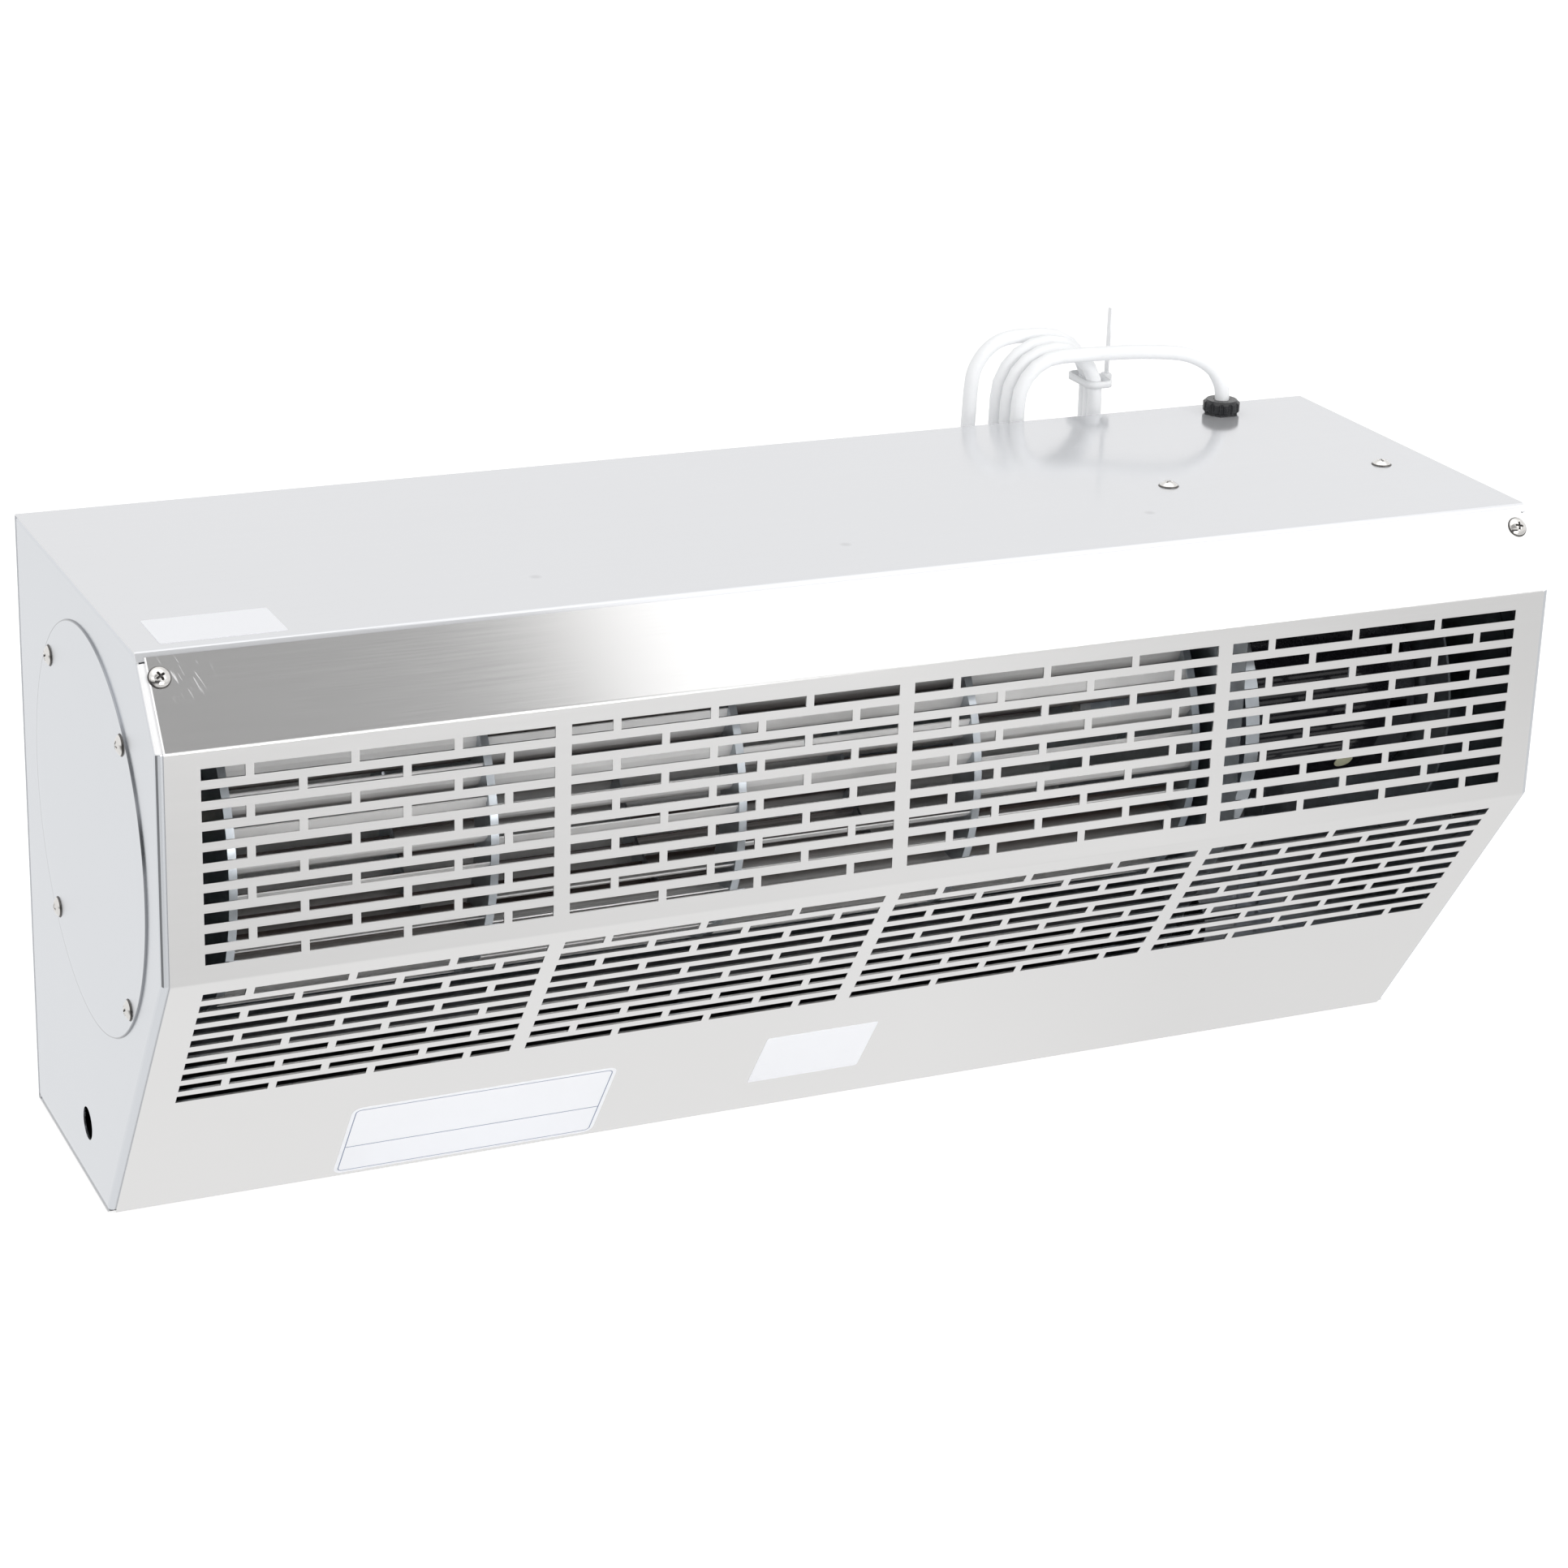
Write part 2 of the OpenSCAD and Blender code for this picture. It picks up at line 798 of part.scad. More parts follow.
// From the right bracket's outer face to its screw
right_screw_in = 5;

module top_screw_places() {
    for (x = [bracket_x0 - hanger_flange * 2 / 3, bracket_x1 - right_screw_in])
        translate([x, top_screw_y, case_h])
            children();
}

module bolt_places() {
    for (a = [45 : 90 : 315])
        rotate([0, 0, a])
            translate([motor_d / 2 - 12, 0, 0])
                children();
}

// A round plate hung from the top, its flange turned towards -X and its rim towards +X.
// The flange is as wide as the other flanges, or as the room beside the bulkhead lets it be.
bracket_hole_d = 64;

module motor_bracket(x, rim) {
    reach = case_h - sheet - lap - axis_z;
    color(zinc)
        difference() {
            union() {
                on_axis(x)
                    difference() {
                        cylinder(r = bracket_r, h = rim);
                        translate([0, 0, bracket_t])
                            cylinder(r = bracket_r - bracket_t, h = rim + cut);
                    }
                translate([x, axis_y - hanger_w / 2, axis_z + bracket_r - 20])
                    cube([bracket_t, hanger_w, reach - bracket_r + 20]);
                translate([x - hanger_flange, axis_y - hanger_w / 2, axis_z + reach - bracket_t])
                    cube([hanger_flange + bracket_t, hanger_w, bracket_t]);
            }
            on_axis(x - cut)
                cylinder(d = bracket_hole_d, h = bracket_t + 2 * cut);
            on_axis(x - cut)
                bolt_places()
                    cylinder(d = screw_d + 2 * screw_gap, h = bracket_t + 2 * cut);
            top_screw_places()
                translate([0, 0, -sheet - bracket_t - cut])
                    cylinder(d = screw_d + 2 * screw_gap, h = sheet + bracket_t + 2 * cut);
        }
}

module motor_bracket_left() {
    motor_bracket(bracket_x0, bracket_rim);
}

module motor_bracket_right() {
    motor_bracket(bracket_x1 - bracket_t, bracket_t);
}

module bracket_screws() {
    top_screw_places()
        screw(screw_l);
}

cap_x0 = bracket_x0 + bracket_t;
cap_x1 = bracket_x1 - bracket_t;

shell_l = cap_x1 - cap_x0 - 2 * cap_l;
shell_t = 3;

module motor_shell() {
    color(black)
        on_axis(cap_x0 + cap_l)
            difference() {
                cylinder(d = motor_d, h = shell_l);
                translate([0, 0, -cut])
                    cylinder(d = motor_d - 2 * shell_t, h = shell_l + 2 * cut);
            }
}

// The laminated core inside the shell, with its winding's bare ends
core_l = 56;
core_bore = 80;
winding_l = 14;
core_x = (cap_x0 + cap_x1 - core_l) / 2;

module motor_core() {
    color(zinc)
        on_axis(core_x)
            difference() {
                union() {
                    cylinder(d = motor_d - 2 * shell_t - 2 * lap, h = core_l);
                    translate([0, 0, -winding_l])
                        cylinder(d = motor_d - 46, h = core_l + 2 * winding_l);
                }
                translate([0, 0, -winding_l - cut])
                    cylinder(d = core_bore, h = core_l + 2 * (winding_l + cut));
                bolt_places()
                    translate([0, 0, -cut])
                        cylinder(d = screw_d + 2 * screw_gap, h = core_l + 2 * cut);
            }
}

module motor_armature() {
    color(zinc)
        on_axis(core_x)
            difference() {
                cylinder(d = core_bore - 1, h = core_l);
                translate([0, 0, -cut])
                    cylinder(d = shaft_d + 2 * run_gap, h = core_l + 2 * cut);
            }
}

// A cast end cap: bearing boss, web and a vented skirt
module motor_cap() {
    wall = 4;
    web = 7;
    boss_d = 36;
    boss_l = 16;
    difference() {
        rotate_extrude()
            polygon([[shaft_d / 2 + run_gap, 0], [motor_d / 2 - 4, 0], [motor_d / 2 - 1.5, 2],
                [motor_d / 2, 6], [motor_d / 2, cap_l], [motor_d / 2 - wall, cap_l],
                [motor_d / 2 - wall, web], [boss_d / 2, web - 2], [boss_d / 2, boss_l],
                [shaft_d / 2 + run_gap, boss_l]]);
        bolt_places()
            translate([0, 0, -cut])
                cylinder(d = screw_d + 2 * screw_gap, h = cap_l + 2 * cut);
        for (a = [0 : 30 : 330])
            rotate([0, 0, a])
                translate([motor_d / 2 - wall - cut, -4, web + 2])
                    cube([wall + 2 * cut, 8, cap_l - web - 6]);
    }
}

module motor_cap_left() {
    color(black)
        on_axis(cap_x0)
            motor_cap();
}

module motor_cap_right() {
    color(black)
        on_axis(cap_x1)
            mirror([0, 0, 1])
                motor_cap();
}

module motor_bolts() {
    nut_t = 4;
    color(zinc)
        on_axis(bracket_x0 - nut_t)
            bolt_places() {
                cylinder(d = screw_d, h = bracket_span + 2 * nut_t);
                cylinder(d = 10, h = nut_t, $fn = 6);
                translate([0, 0, bracket_span + nut_t])
                    cylinder(d = 10, h = nut_t, $fn = 6);
            }
}

capacitor_x = bracket_x0 + 20;
capacitor_y = wall_y - 50;
capacitor_z = sheet + 1.2 + capacitor_d / 2;

module capacitor() {
    terminal_w = 6;
    color(black)
        translate([capacitor_x, capacitor_y, capacitor_z])
            rotate([0, 90, 0]) {
                cylinder(d = capacitor_d, h = capacitor_l);
                for (s = [-1, 1])
                    translate([-0.4, s * 7 - terminal_w / 2, capacitor_l])
                        cube([0.8, terminal_w, 8]);
            }
}

module capacitor_strap() {
    strap_t = 1;
    foot = 14;
    width = 20;
    r = capacitor_d / 2 + 0.2;
    color(zinc)
        translate([capacitor_x + capacitor_l / 2 - width / 2, capacitor_y, sheet])
            difference() {
                union() {
                    translate([0, 0, capacitor_z - sheet])
                        rotate([0, 90, 0])
                            cylinder(r = r + strap_t, h = width);
                    translate([0, -r - strap_t, 0])
                        cube([width, 2 * (r + strap_t), capacitor_d / 2]);
                    translate([0, -r - foot, 0])
                        cube([width, 2 * (r + foot), strap_t]);
                }
                translate([-cut, 0, capacitor_z - sheet])
                    rotate([0, 90, 0])
                        cylinder(r = r, h = width + 2 * cut);
                translate([-cut, -r, strap_t])
                    cube([width + 2 * cut, 2 * r, capacitor_d / 2]);
            }
}

// On the back sheet, to the left of the gland and below it
module terminal_block() {
    block = [72, 18, 22];
    well = [7, 8, 16];
    poles = 6;
    pole = block[0] / poles;
    left_of_gland = 100;
    drop = 90;
    color(white)
        translate([gland_x - left_of_gland, wall_y - sheet - block[1], case_h - drop])
            difference() {
                cube(block);
                for (k = [0 : poles - 1])
                    translate([(k + 0.5) * pole - well[0] / 2, -cut, (block[2] - well[2]) / 2])
                        cube([well[0], well[1] + cut, well[2]]);
            }
}

// ---- Vanes ----

// Depth of a pin in its vane, and how far it stands out behind the collar
pin_in = 10;
pin_out = 1;
// A slim lens, thickest at the pivot
vane_steps = 12;
vane_edge = 0.8;
module vane_profile() {
    side = [for (k = [0 : vane_steps])
        let (f = 2 * k / vane_steps - 1)
        [f * vane_chord / 2, vane_edge + (vane_t / 2 - vane_edge) * (1 - f * f)]];
    polygon(concat(side, [for (p = reversed(side)) [p[0], -p[1]]]));
}

module vane(y) {
    length = outlet_x1 - outlet_x0 - 2 * vane_gap;
    color(blade_alu)
        translate([outlet_x0 + vane_gap, y, vane_z])
            difference() {
                rotate([0, 90, 0])
                    linear_extrude(length)
                        vane_profile();
                for (x = [-cut, length - pin_in])
                    translate([x, 0, 0])
                        rotate([0, 90, 0])
                            cylinder(d = vane_pin_d, h = pin_in + cut);
            }
}

module vane_pins(y) {
    pin_l = pin_in + vane_gap + sheet + pin_out;
    color(zinc)
        for (x = [outlet_x0 - sheet - pin_out, outlet_x1 - pin_in - vane_gap])
            translate([x, y, vane_z])
                rotate([0, 90, 0])
                    cylinder(d = vane_pin_d, h = pin_l);
}

module front_vane() {
    vane(vane_mid_y - vane_pitch / 2);
}

module front_vane_pins() {
    vane_pins(vane_mid_y - vane_pitch / 2);
}

module rear_vane() {
    vane(vane_mid_y + vane_pitch / 2);
}

module rear_vane_pins() {
    vane_pins(vane_mid_y + vane_pitch / 2);
}

// ---- Gland and cord ----

nut_flutes = 12;
flute_r = 1.8;
flute_out = 0.6;
nut_bevel = 2.2;
// Thickness of the nut's top, height of the seal under it, and of the thread below the seal
nut_top_t = 2;
seal_h = 3;
thread_up = gland_h - nut_top_t - seal_h;
gland_below = 14;
locknut_h = 5;

module gland_body() {
    color(black)
        translate([gland_x, gland_y, case_h])
            difference() {
                union() {
                    cylinder(d = gland_d, h = gland_hex_h, $fn = 6);
                    translate([0, 0, -gland_below])
                        cylinder(d = gland_thread_d, h = gland_below + gland_hex_h + thread_up);
                }
                translate([0, 0, -gland_below - cut])
                    cylinder(d = cord_d + 3, h = gland_below + gland_hex_h + thread_up + 2 * cut);
            }
}

module gland_locknut() {
    color(black)
        translate([gland_x, gland_y, case_h - sheet - locknut_h])
            difference() {
                cylinder(d = gland_d + 2, h = locknut_h, $fn = 6);
                translate([0, 0, -cut])
                    cylinder(d = gland_thread_d + 2 * lap, h = locknut_h + 2 * cut);
            }
}

module gland_seal() {
    color(rubber)
        translate([gland_x, gland_y, case_h + gland_hex_h + thread_up])
            cylinder(d = gland_thread_d - 2, h = seal_h);
}

module gland_nut() {
    inner_r = gland_thread_d / 2 + lap;
    outer_r = gland_d / 2;
    mouth_r = cord_d / 2 + 0.6;
    ceiling = gland_h - nut_top_t + 2 * lap;
    color(black)
        translate([gland_x, gland_y, case_h + gland_hex_h])
            difference() {
                rotate_extrude()
                    polygon([[inner_r, 0], [outer_r - 1, 0], [outer_r, 1],
                        [outer_r, gland_h - nut_bevel], [outer_r - nut_bevel, gland_h],
                        [mouth_r, gland_h], [mouth_r, ceiling], [inner_r, ceiling]]);
                for (k = [0 : nut_flutes - 1])
                    rotate([0, 0, k * 360 / nut_flutes])
                        translate([outer_r + flute_out, 0, -cut])
                            cylinder(r = flute_r, h = gland_h + 2 * cut, $fn = 24);
            }
}

// The cord leaves the gland upwards, bends to the left and back, and joins the hank
hank_x = 270;
hank_y = 166;
hank_top_z = 404;
hank_run = 160;
hank_r_in = 31;
hank_step = 2.5;
hank_layer = 10.9;
hank_turns = 3;
hank_sides = 6;
hank_rings = 24;

cord_points = [[379, 131.9, 403], [379, 131.9, 408], [378, 132.2, 414], [376, 132.9, 419],
    [372.5, 134, 425], [367, 136, 430], [360, 138.5, 434], [352, 141.5, 436.5],
    [342, 145.5, 437.5], [330, 150.5, 437.5], [318, 156, 437], [306, 161, 436],
    [297, 164.5, 435.2], [290, 166, 435], [280, 166, 435]];
tail_points = [[260, 198.7, 442.5], [250, 198.7, 442.5], [237, 198, 440], [226, 197, 432.5],
    [218.5, 195.5, 421.5], [215.5, 193.5, 408.5], [214, 191.5, 395], [213, 190.5, 383],
    [213, 190, 374], [213, 190, 366]];

// Each loop is a little wider than the last, and lies a cord's width behind it
function hank_radius(t) = hank_r_in + hank_step * t;

// A point t turns along the hank: t = 0 is the top of the first loop. Each loop is
// a quarter bend, a run down, a half bend, a run up and a quarter bend
function hank_point(t) =
    let (u = t - floor(t),
        r = hank_radius(t),
        bend = PI * hank_radius(hank_turns / 2),
        s = u * 2 * (bend + hank_run),
        y = hank_y + hank_layer * t)
    s < bend / 2 ? turned(r, 90 + 180 * s / bend, hank_top_z, y)
    : s < bend / 2 + hank_run ? [hank_x - r, y, hank_top_z - (s - bend / 2)]
    : s < 1.5 * bend + hank_run
        ? turned(r, 180 + 180 * (s - bend / 2 - hank_run) / bend, hank_top_z - hank_run, y)
    : s < 1.5 * bend + 2 * hank_run
        ? [hank_x + r, y, hank_top_z - hank_run + (s - 1.5 * bend - hank_run)]
    : turned(r, 180 * (s - 1.5 * bend - 2 * hank_run) / bend, hank_top_z, y);
function turned(r, a, z, y) = [hank_x + r * cos(a), y, z + r * sin(a)];

hank_loops = [for (k = [0 : hank_turns * hank_rings]) hank_point(k / hank_rings)];
hank_path = concat([hank_loops[0] + [cord_d, 0, 0]], hank_loops,
    [hank_loops[len(hank_loops) - 1] - [cord_d, 0, 0]]);

// A tube swept along points; its rings stand square to the path
function along(p, i) =
    i == 0 ? unit(p[1] - p[0])
    : i == len(p) - 1 ? unit(p[i] - p[i - 1])
    : unit(unit(p[i + 1] - p[i]) + unit(p[i] - p[i - 1]));

module tube(p, d, sides) {
    n = len(p);
    rings = [for (i = [0 : n - 1])
        let (t = along(p, i),
            u = unit(cross(t, [0, 1, 0])),
            v = cross(u, t))
        for (k = [0 : sides - 1])
            p[i] + d / 2 * (u * cos(k * 360 / sides) + v * sin(k * 360 / sides))];
    walls = [for (i = [0 : n - 2], k = [0 : sides - 1])
        let (a = i * sides + k,
            b = i * sides + (k + 1) % sides)
        each [[a, b, b + sides], [a, b + sides, a + sides]]];
    ends = [for (k = [1 : sides - 2])
        each [[0, k + 1, k], [(n - 1) * sides, (n - 1) * sides + k, (n - 1) * sides + k + 1]]];
    polyhedron(points = rings, faces = concat(walls, ends));
}

module power_cord() {
    color(white)
        tube(cord_points, cord_d, 8);
}

module cord_hank() {
    color(white)
        tube(hank_path, cord_d, hank_sides);
}

module cord_tail() {
    color(white)
        tube(tail_points, cord_d, 8);
}

// Least gap between two stretches of the hank more than a third of a loop apart
hank_gap = min([for (i = [0 : len(hank_path) - 1], j = [i + 8 : 1 : len(hank_path) - 1])
    norm(hank_path[i] - hank_path[j])]) - cord_d;
echo(hank_gap = hank_gap);

// A cable tie round the hank's right-hand strands, just above its straight part
tie_up = 7;
tie_band = 1.4;
tie_w = 5;
tie_slack = 3.6;
tie_tail = [1.2, tie_w, 46];
tie_lock = [6, 8, 7];
tie_z = hank_top_z + tie_up;

// Where the hank's right-hand strands cross the tie's height
tie_hits = [for (i = [0 : len(hank_path) - 2])
    let (a = hank_path[i],
        b = hank_path[i + 1])
    if (a[0] > hank_x && b[0] > hank_x && (a[2] - tie_z) * (b[2] - tie_z) <= 0 && a[2] != b[2])
    a + (b - a) * (tie_z - a[2]) / (b[2] - a[2])];
tie_low = [for (k = [0 : 2]) min([for (p = tie_hits) p[k]])];
tie_high = [for (k = [0 : 2]) max([for (p = tie_hits) p[k]])];

module cord_tie() {
    inner = tie_high - tie_low + [cord_d + tie_slack, cord_d + tie_slack / 2, tie_w + 2 * cut];
    outer = [inner[0] + 2 * tie_band, inner[1] + 2 * tie_band, tie_w];
    color(white)
        translate((tie_low + tie_high) / 2) {
            difference() {
                cube(outer, center = true);
                cube(inner, center = true);
            }
            translate([outer[0] / 2, -tie_lock[1] / 2, -tie_lock[2] / 2])
                cube(tie_lock);
            translate([outer[0] / 2 + tie_lock[0] / 3, -tie_tail[1] / 2, tie_lock[2] / 2])
                cube(tie_tail);
        }
}

// ---- Plug: two flat blades and a round earth pin ----

plug_top = tail_points[len(tail_points) - 1];
relief_l = 24;
body_l = 30;
grip = [25, 20];
face_d = 27;
blade = [1.5, 6.3, 17];
blade_apart = 12.7;
blade_y = -5.2;
earth_d = 4.8;
earth_l = 20;
earth_y = 7;

module plug_body() {
    color(white)
        translate(plug_top)
            mirror([0, 0, 1]) {
                rotate_extrude()
                    polygon([[0, 0], [cord_d / 2 + 1, 0], [cord_d / 2 + 2.5, relief_l],
                        [0, relief_l]]);
                translate([0, 0, relief_l])
                    hull() {
                        cylinder(d = cord_d + 6, h = 1, $fn = 32);
                        translate([0, 0, body_l / 2])
                            linear_extrude(body_l / 2)
                                square(grip, center = true);
                        translate([0, 0, body_l - 2])
                            cylinder(d = face_d, h = 2, $fn = 32);
                    }
            }
}

module plug_blades() {
    color(zinc)
        translate(plug_top - [0, 0, relief_l + body_l])
            mirror([0, 0, 1]) {
                for (s = [-1, 1])
                    translate([s * blade_apart / 2 - blade[0] / 2, blade_y, 0])
                        cube(blade);
                translate([0, earth_y, 0])
                    cylinder(d = earth_d, h = earth_l);
            }
}

casing_wrap();
end_panel_left();
end_panel_right();
front_cover();
base_panel();
end_cover_left();
end_cover_right();
end_cover_screws_left();
end_cover_screws_right();
front_cover_screws();
bracket_screws();
bulkhead();
rear_scroll();
tongue_plate();
outlet_collar();
bearing_strap();
bearing_rubber();
bearing_sleeve();
motor_bracket_left();
motor_bracket_right();
motor_shell();
motor_core();
motor_cap_left();
motor_cap_right();
motor_bolts();
capacitor();
capacitor_strap();
terminal_block();
wheel_disc_left();
wheel_disc_right();
wheel_ring(1);  // wheel_ring_1
wheel_ring(2);  // wheel_ring_2
wheel_ring(3);  // wheel_ring_3
wheel_blades(0);  // wheel_blades_1
wheel_blades(1);  // wheel_blades_2
wheel_blades(2);  // wheel_blades_3
wheel_blades(3);  // wheel_blades_4
wheel_hub_left();
wheel_hub_right();
wheel_stub_shaft();
motor_shaft();
motor_armature();
hub_set_screw();
front_vane();
front_vane_pins();
rear_vane();
rear_vane_pins();
gland_body();
gland_locknut();
gland_seal();
gland_nut();
power_cord();
cord_hank();
cord_tail();
cord_tie();
plug_body();
plug_blades();
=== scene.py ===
# The looks of a stainless steel air curtain: metres, +X along the casing, -Y its front, +Z up.
import json
import math

import bmesh
import bpy
from mathutils import Matrix, Vector


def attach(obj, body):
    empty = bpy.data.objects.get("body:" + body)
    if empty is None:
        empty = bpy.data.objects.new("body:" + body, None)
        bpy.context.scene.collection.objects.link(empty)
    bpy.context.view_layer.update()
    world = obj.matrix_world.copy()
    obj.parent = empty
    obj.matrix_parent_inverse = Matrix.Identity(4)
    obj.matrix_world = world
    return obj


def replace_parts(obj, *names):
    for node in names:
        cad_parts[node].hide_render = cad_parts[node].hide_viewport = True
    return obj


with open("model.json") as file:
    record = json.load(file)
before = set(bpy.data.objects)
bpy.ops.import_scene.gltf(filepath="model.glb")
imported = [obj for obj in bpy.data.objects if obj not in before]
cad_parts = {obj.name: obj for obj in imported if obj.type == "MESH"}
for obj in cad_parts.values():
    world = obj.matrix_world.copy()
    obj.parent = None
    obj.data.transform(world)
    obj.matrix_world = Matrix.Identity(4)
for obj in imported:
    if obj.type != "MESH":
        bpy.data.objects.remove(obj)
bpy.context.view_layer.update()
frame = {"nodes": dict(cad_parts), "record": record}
NODES = frame["nodes"]
MM = 0.001

# Sizes that the part has too, in millimetres
CASE_W, CASE_H, CASE_D = 914.0, 395.0, 315.0
FRONT_Y = -CASE_D / 2
SHEET = 1.2
CHAMFER_TOP = (-120.5, 395.0)
CHAMFER_END = (FRONT_Y, 348.0)
SLANT_TOP = (FRONT_Y, 208.0)
SLANT_END = (-16.5, 0.0)
AXIS_Y, AXIS_Z = -5.5, 248.0
CORD_D = 10.0
HEAD_D, HEAD_H, SCREW_D, SCREW_L = 13.5, 3.4, 4.8, 9.0
END_COVER_R = 124.0

# ---- Camera: solved from the photograph ----

AZ, EL, ROLL = -0.4349693, 0.3652576, 0.0343252
CAMERA_AT = (-0.96110, -2.05644, 1.08399)
FOCAL, SENSOR = 87.16, 36.0
CLIP = (0.05, 50.0)


def make_camera():
    back = Vector((math.sin(AZ) * math.cos(EL), -math.cos(AZ) * math.cos(EL), math.sin(EL)))
    right = Vector((0, 0, 1)).cross(back).normalized()
    up = back.cross(right)
    c, s = math.cos(ROLL), math.sin(ROLL)
    right, up = c * right + s * up, c * up - s * right
    data = bpy.data.cameras.new("camera")
    data.lens = FOCAL
    data.sensor_width = SENSOR
    data.clip_start, data.clip_end = CLIP
    cam = bpy.data.objects.new("camera", data)
    bpy.context.collection.objects.link(cam)
    turn = Matrix((right, up, back)).transposed().to_4x4()
    cam.matrix_world = Matrix.Translation(CAMERA_AT) @ turn
    bpy.context.scene.camera = cam


make_camera()

# ---- Node graphs ----


class Graph:
    """A material's or the world's nodes, added one call at a time."""

    def __init__(self, tree):
        self.tree = tree
        tree.nodes.clear()

    def add(self, kind, props=None, **inputs):
        node = self.tree.nodes.new(kind)
        for key, value in (props or {}).items():
            setattr(node, key, value)
        for key, value in inputs.items():
            self.put(node, key.replace("_", " "), value)
        return node

    def put(self, node, key, value):
        """Links or sets an input, named, or #n for the one at place n."""
        socket = node.inputs[int(key[1:]) if key[0] == "#" else key]
        if isinstance(value, bpy.types.NodeSocket):
            self.tree.links.new(value, socket)
        else:
            socket.default_value = value

    def math(self, op, a, b=0.0):
        node = self.add("ShaderNodeMath", {"operation": op})
        self.put(node, "#0", a)
        self.put(node, "#1", b)
        return node.outputs[0]

    def mix(self, fac, a, b):
        node = self.add("ShaderNodeMix", {"data_type": "RGBA"})
        self.put(node, "#0", fac)
        self.put(node, "#6", a)
        self.put(node, "#7", b)
        return node.outputs[2]

    def ramp(self, value, low, high, to_low=0.0, to_high=1.0):
        node = self.add("ShaderNodeMapRange")
        for key, v in (("#0", value), ("#1", low), ("#2", high), ("#3", to_low), ("#4", to_high)):
            self.put(node, key, v)
        return node.outputs[0]

    def fall(self, value, low, high):
        """1 up to low, and 0 from high on."""
        return self.ramp(value, low, high, 1.0, 0.0)

    def place(self):
        """The shaded point in the frame, in metres."""
        return self.add("ShaderNodeTexCoord").outputs["Object"]

    def xyz(self, vector):
        return self.add("ShaderNodeSeparateXYZ", Vector=vector).outputs

    def distance(self, a, b):
        node = self.add("ShaderNodeVectorMath", {"operation": "DISTANCE"})
        self.put(node, "#0", a)
        self.put(node, "#1", b)
        return node.outputs["Value"]

    def noise(self, scale, detail=3.0, stretch=(1, 1, 1)):
        stretched = self.add("ShaderNodeMapping", Vector=self.place(), Scale=stretch).outputs[0]
        return self.add("ShaderNodeTexNoise", Vector=stretched, Scale=scale,
                        Detail=detail).outputs[0]


def shade(c, k):
    return (*(min(1.0, v * k) for v in c), 1.0)


# How a grain is mixed from fine and broad noise, and how it moves the tone and the roughness
FINE_SHARE, BROAD_SHARE, BROAD_SCALE = 0.6, 0.4, 9.0
TONE_RANGE, ROUGH_RANGE, ROUGH_LEAST = (0.3, 0.7), (0.25, 0.75), 0.03
BUMP_STRENGTH = 0.25
# What is left of the metal where a bright mark scatters light: pale scratches and painted
# highlights
MARK_METAL = 0.15
# Kept by the names given here, because Blender numbers a name that the frame has already
M = {}


def material(name, color, metallic=0.0, rough=0.5, grain=(400.0, (1, 1, 1)), vary=0.06,
             bump=0.0002, coat=0.0, spec=0.5, spread=0.06, extra=None):
    """A surface with a fine grain: grain is (noise scale, stretch along X, Y and Z). Marks that
    extra adds, painted shade and highlights too, take its colour; where its bright mask is 1 they
    scatter light."""
    mat = bpy.data.materials.new(name)
    mat.use_nodes = True
    g = Graph(mat.node_tree)
    out = g.add("ShaderNodeOutputMaterial")
    bsdf = g.add("ShaderNodeBsdfPrincipled", Metallic=metallic, Coat_Weight=coat,
                 Specular_IOR_Level=spec)
    scale, stretch = grain
    fine = g.noise(scale, 4.0, stretch)
    broad = g.noise(BROAD_SCALE, 2.0)
    tone = g.math("ADD", g.math("MULTIPLY", fine, FINE_SHARE),
                  g.math("MULTIPLY", broad, BROAD_SHARE))
    base = g.mix(g.ramp(tone, *TONE_RANGE), shade(color, 1 - vary), shade(color, 1 + vary))
    if extra:
        base, bright = extra(g, base)
        if bright is not None:
            g.put(bsdf, "Metallic", g.ramp(bright, 0.0, 1.0, metallic, metallic * MARK_METAL))
    g.put(bsdf, "Base Color", base)
    low = max(ROUGH_LEAST, rough - spread)
    g.put(bsdf, "Roughness", g.ramp(fine, *ROUGH_RANGE, low, rough + spread))
    lift = g.add("ShaderNodeBump", Height=fine, Strength=BUMP_STRENGTH, Distance=bump)
    g.put(bsdf, "Normal", lift.outputs[0])
    g.put(out, "Surface", bsdf.outputs[0])
    M[name] = mat


# ---- Marks on the surfaces, in metres: wear, welds, painted shade and painted highlights ----

# Pale scratches and painted highlights take this colour
WHITE = (0.96, 0.96, 0.965, 1.0)
# A painted highlight lies on the bends beside the chamfer, from the cover's edge to the panel's,
# in front of
# EDGE_TOP_Y and above EDGE_Z. On the cover itself it begins a little further in
COVER_EDGE_X, PANEL_EDGE_X = 0.4525, 0.4562
COVER_BEND_X = COVER_EDGE_X - 0.0009
EDGE_TOP_Y, EDGE_Z = -0.1165, 0.348
EDGE_BLUR, FINE_BLUR, FADE = 0.0006, 0.0002, 0.001


def painted_bend_highlight(g, from_x):
    """The painted highlight's mask: 1 on the bends beside the chamfer, from from_x outwards, and 0
    elsewhere.
    """
    x, y, z = g.xyz(g.place())
    beside = g.ramp(g.math("ABSOLUTE", x), from_x - FINE_BLUR, from_x)
    inner = g.fall(g.math("ABSOLUTE", x), PANEL_EDGE_X, PANEL_EDGE_X + EDGE_BLUR)
    front = g.fall(y, EDGE_TOP_Y - FADE, EDGE_TOP_Y)
    above = g.ramp(z, EDGE_Z - FADE, EDGE_Z)
    return g.math("MULTIPLY", g.math("MULTIPLY", beside, inner),
                  g.math("MULTIPLY", front, above))


SCUFFED_AT = [(x, -0.130, 0.385) for x in (-0.432, 0.432)]
SCUFF_REACH = (0.006, 0.020)
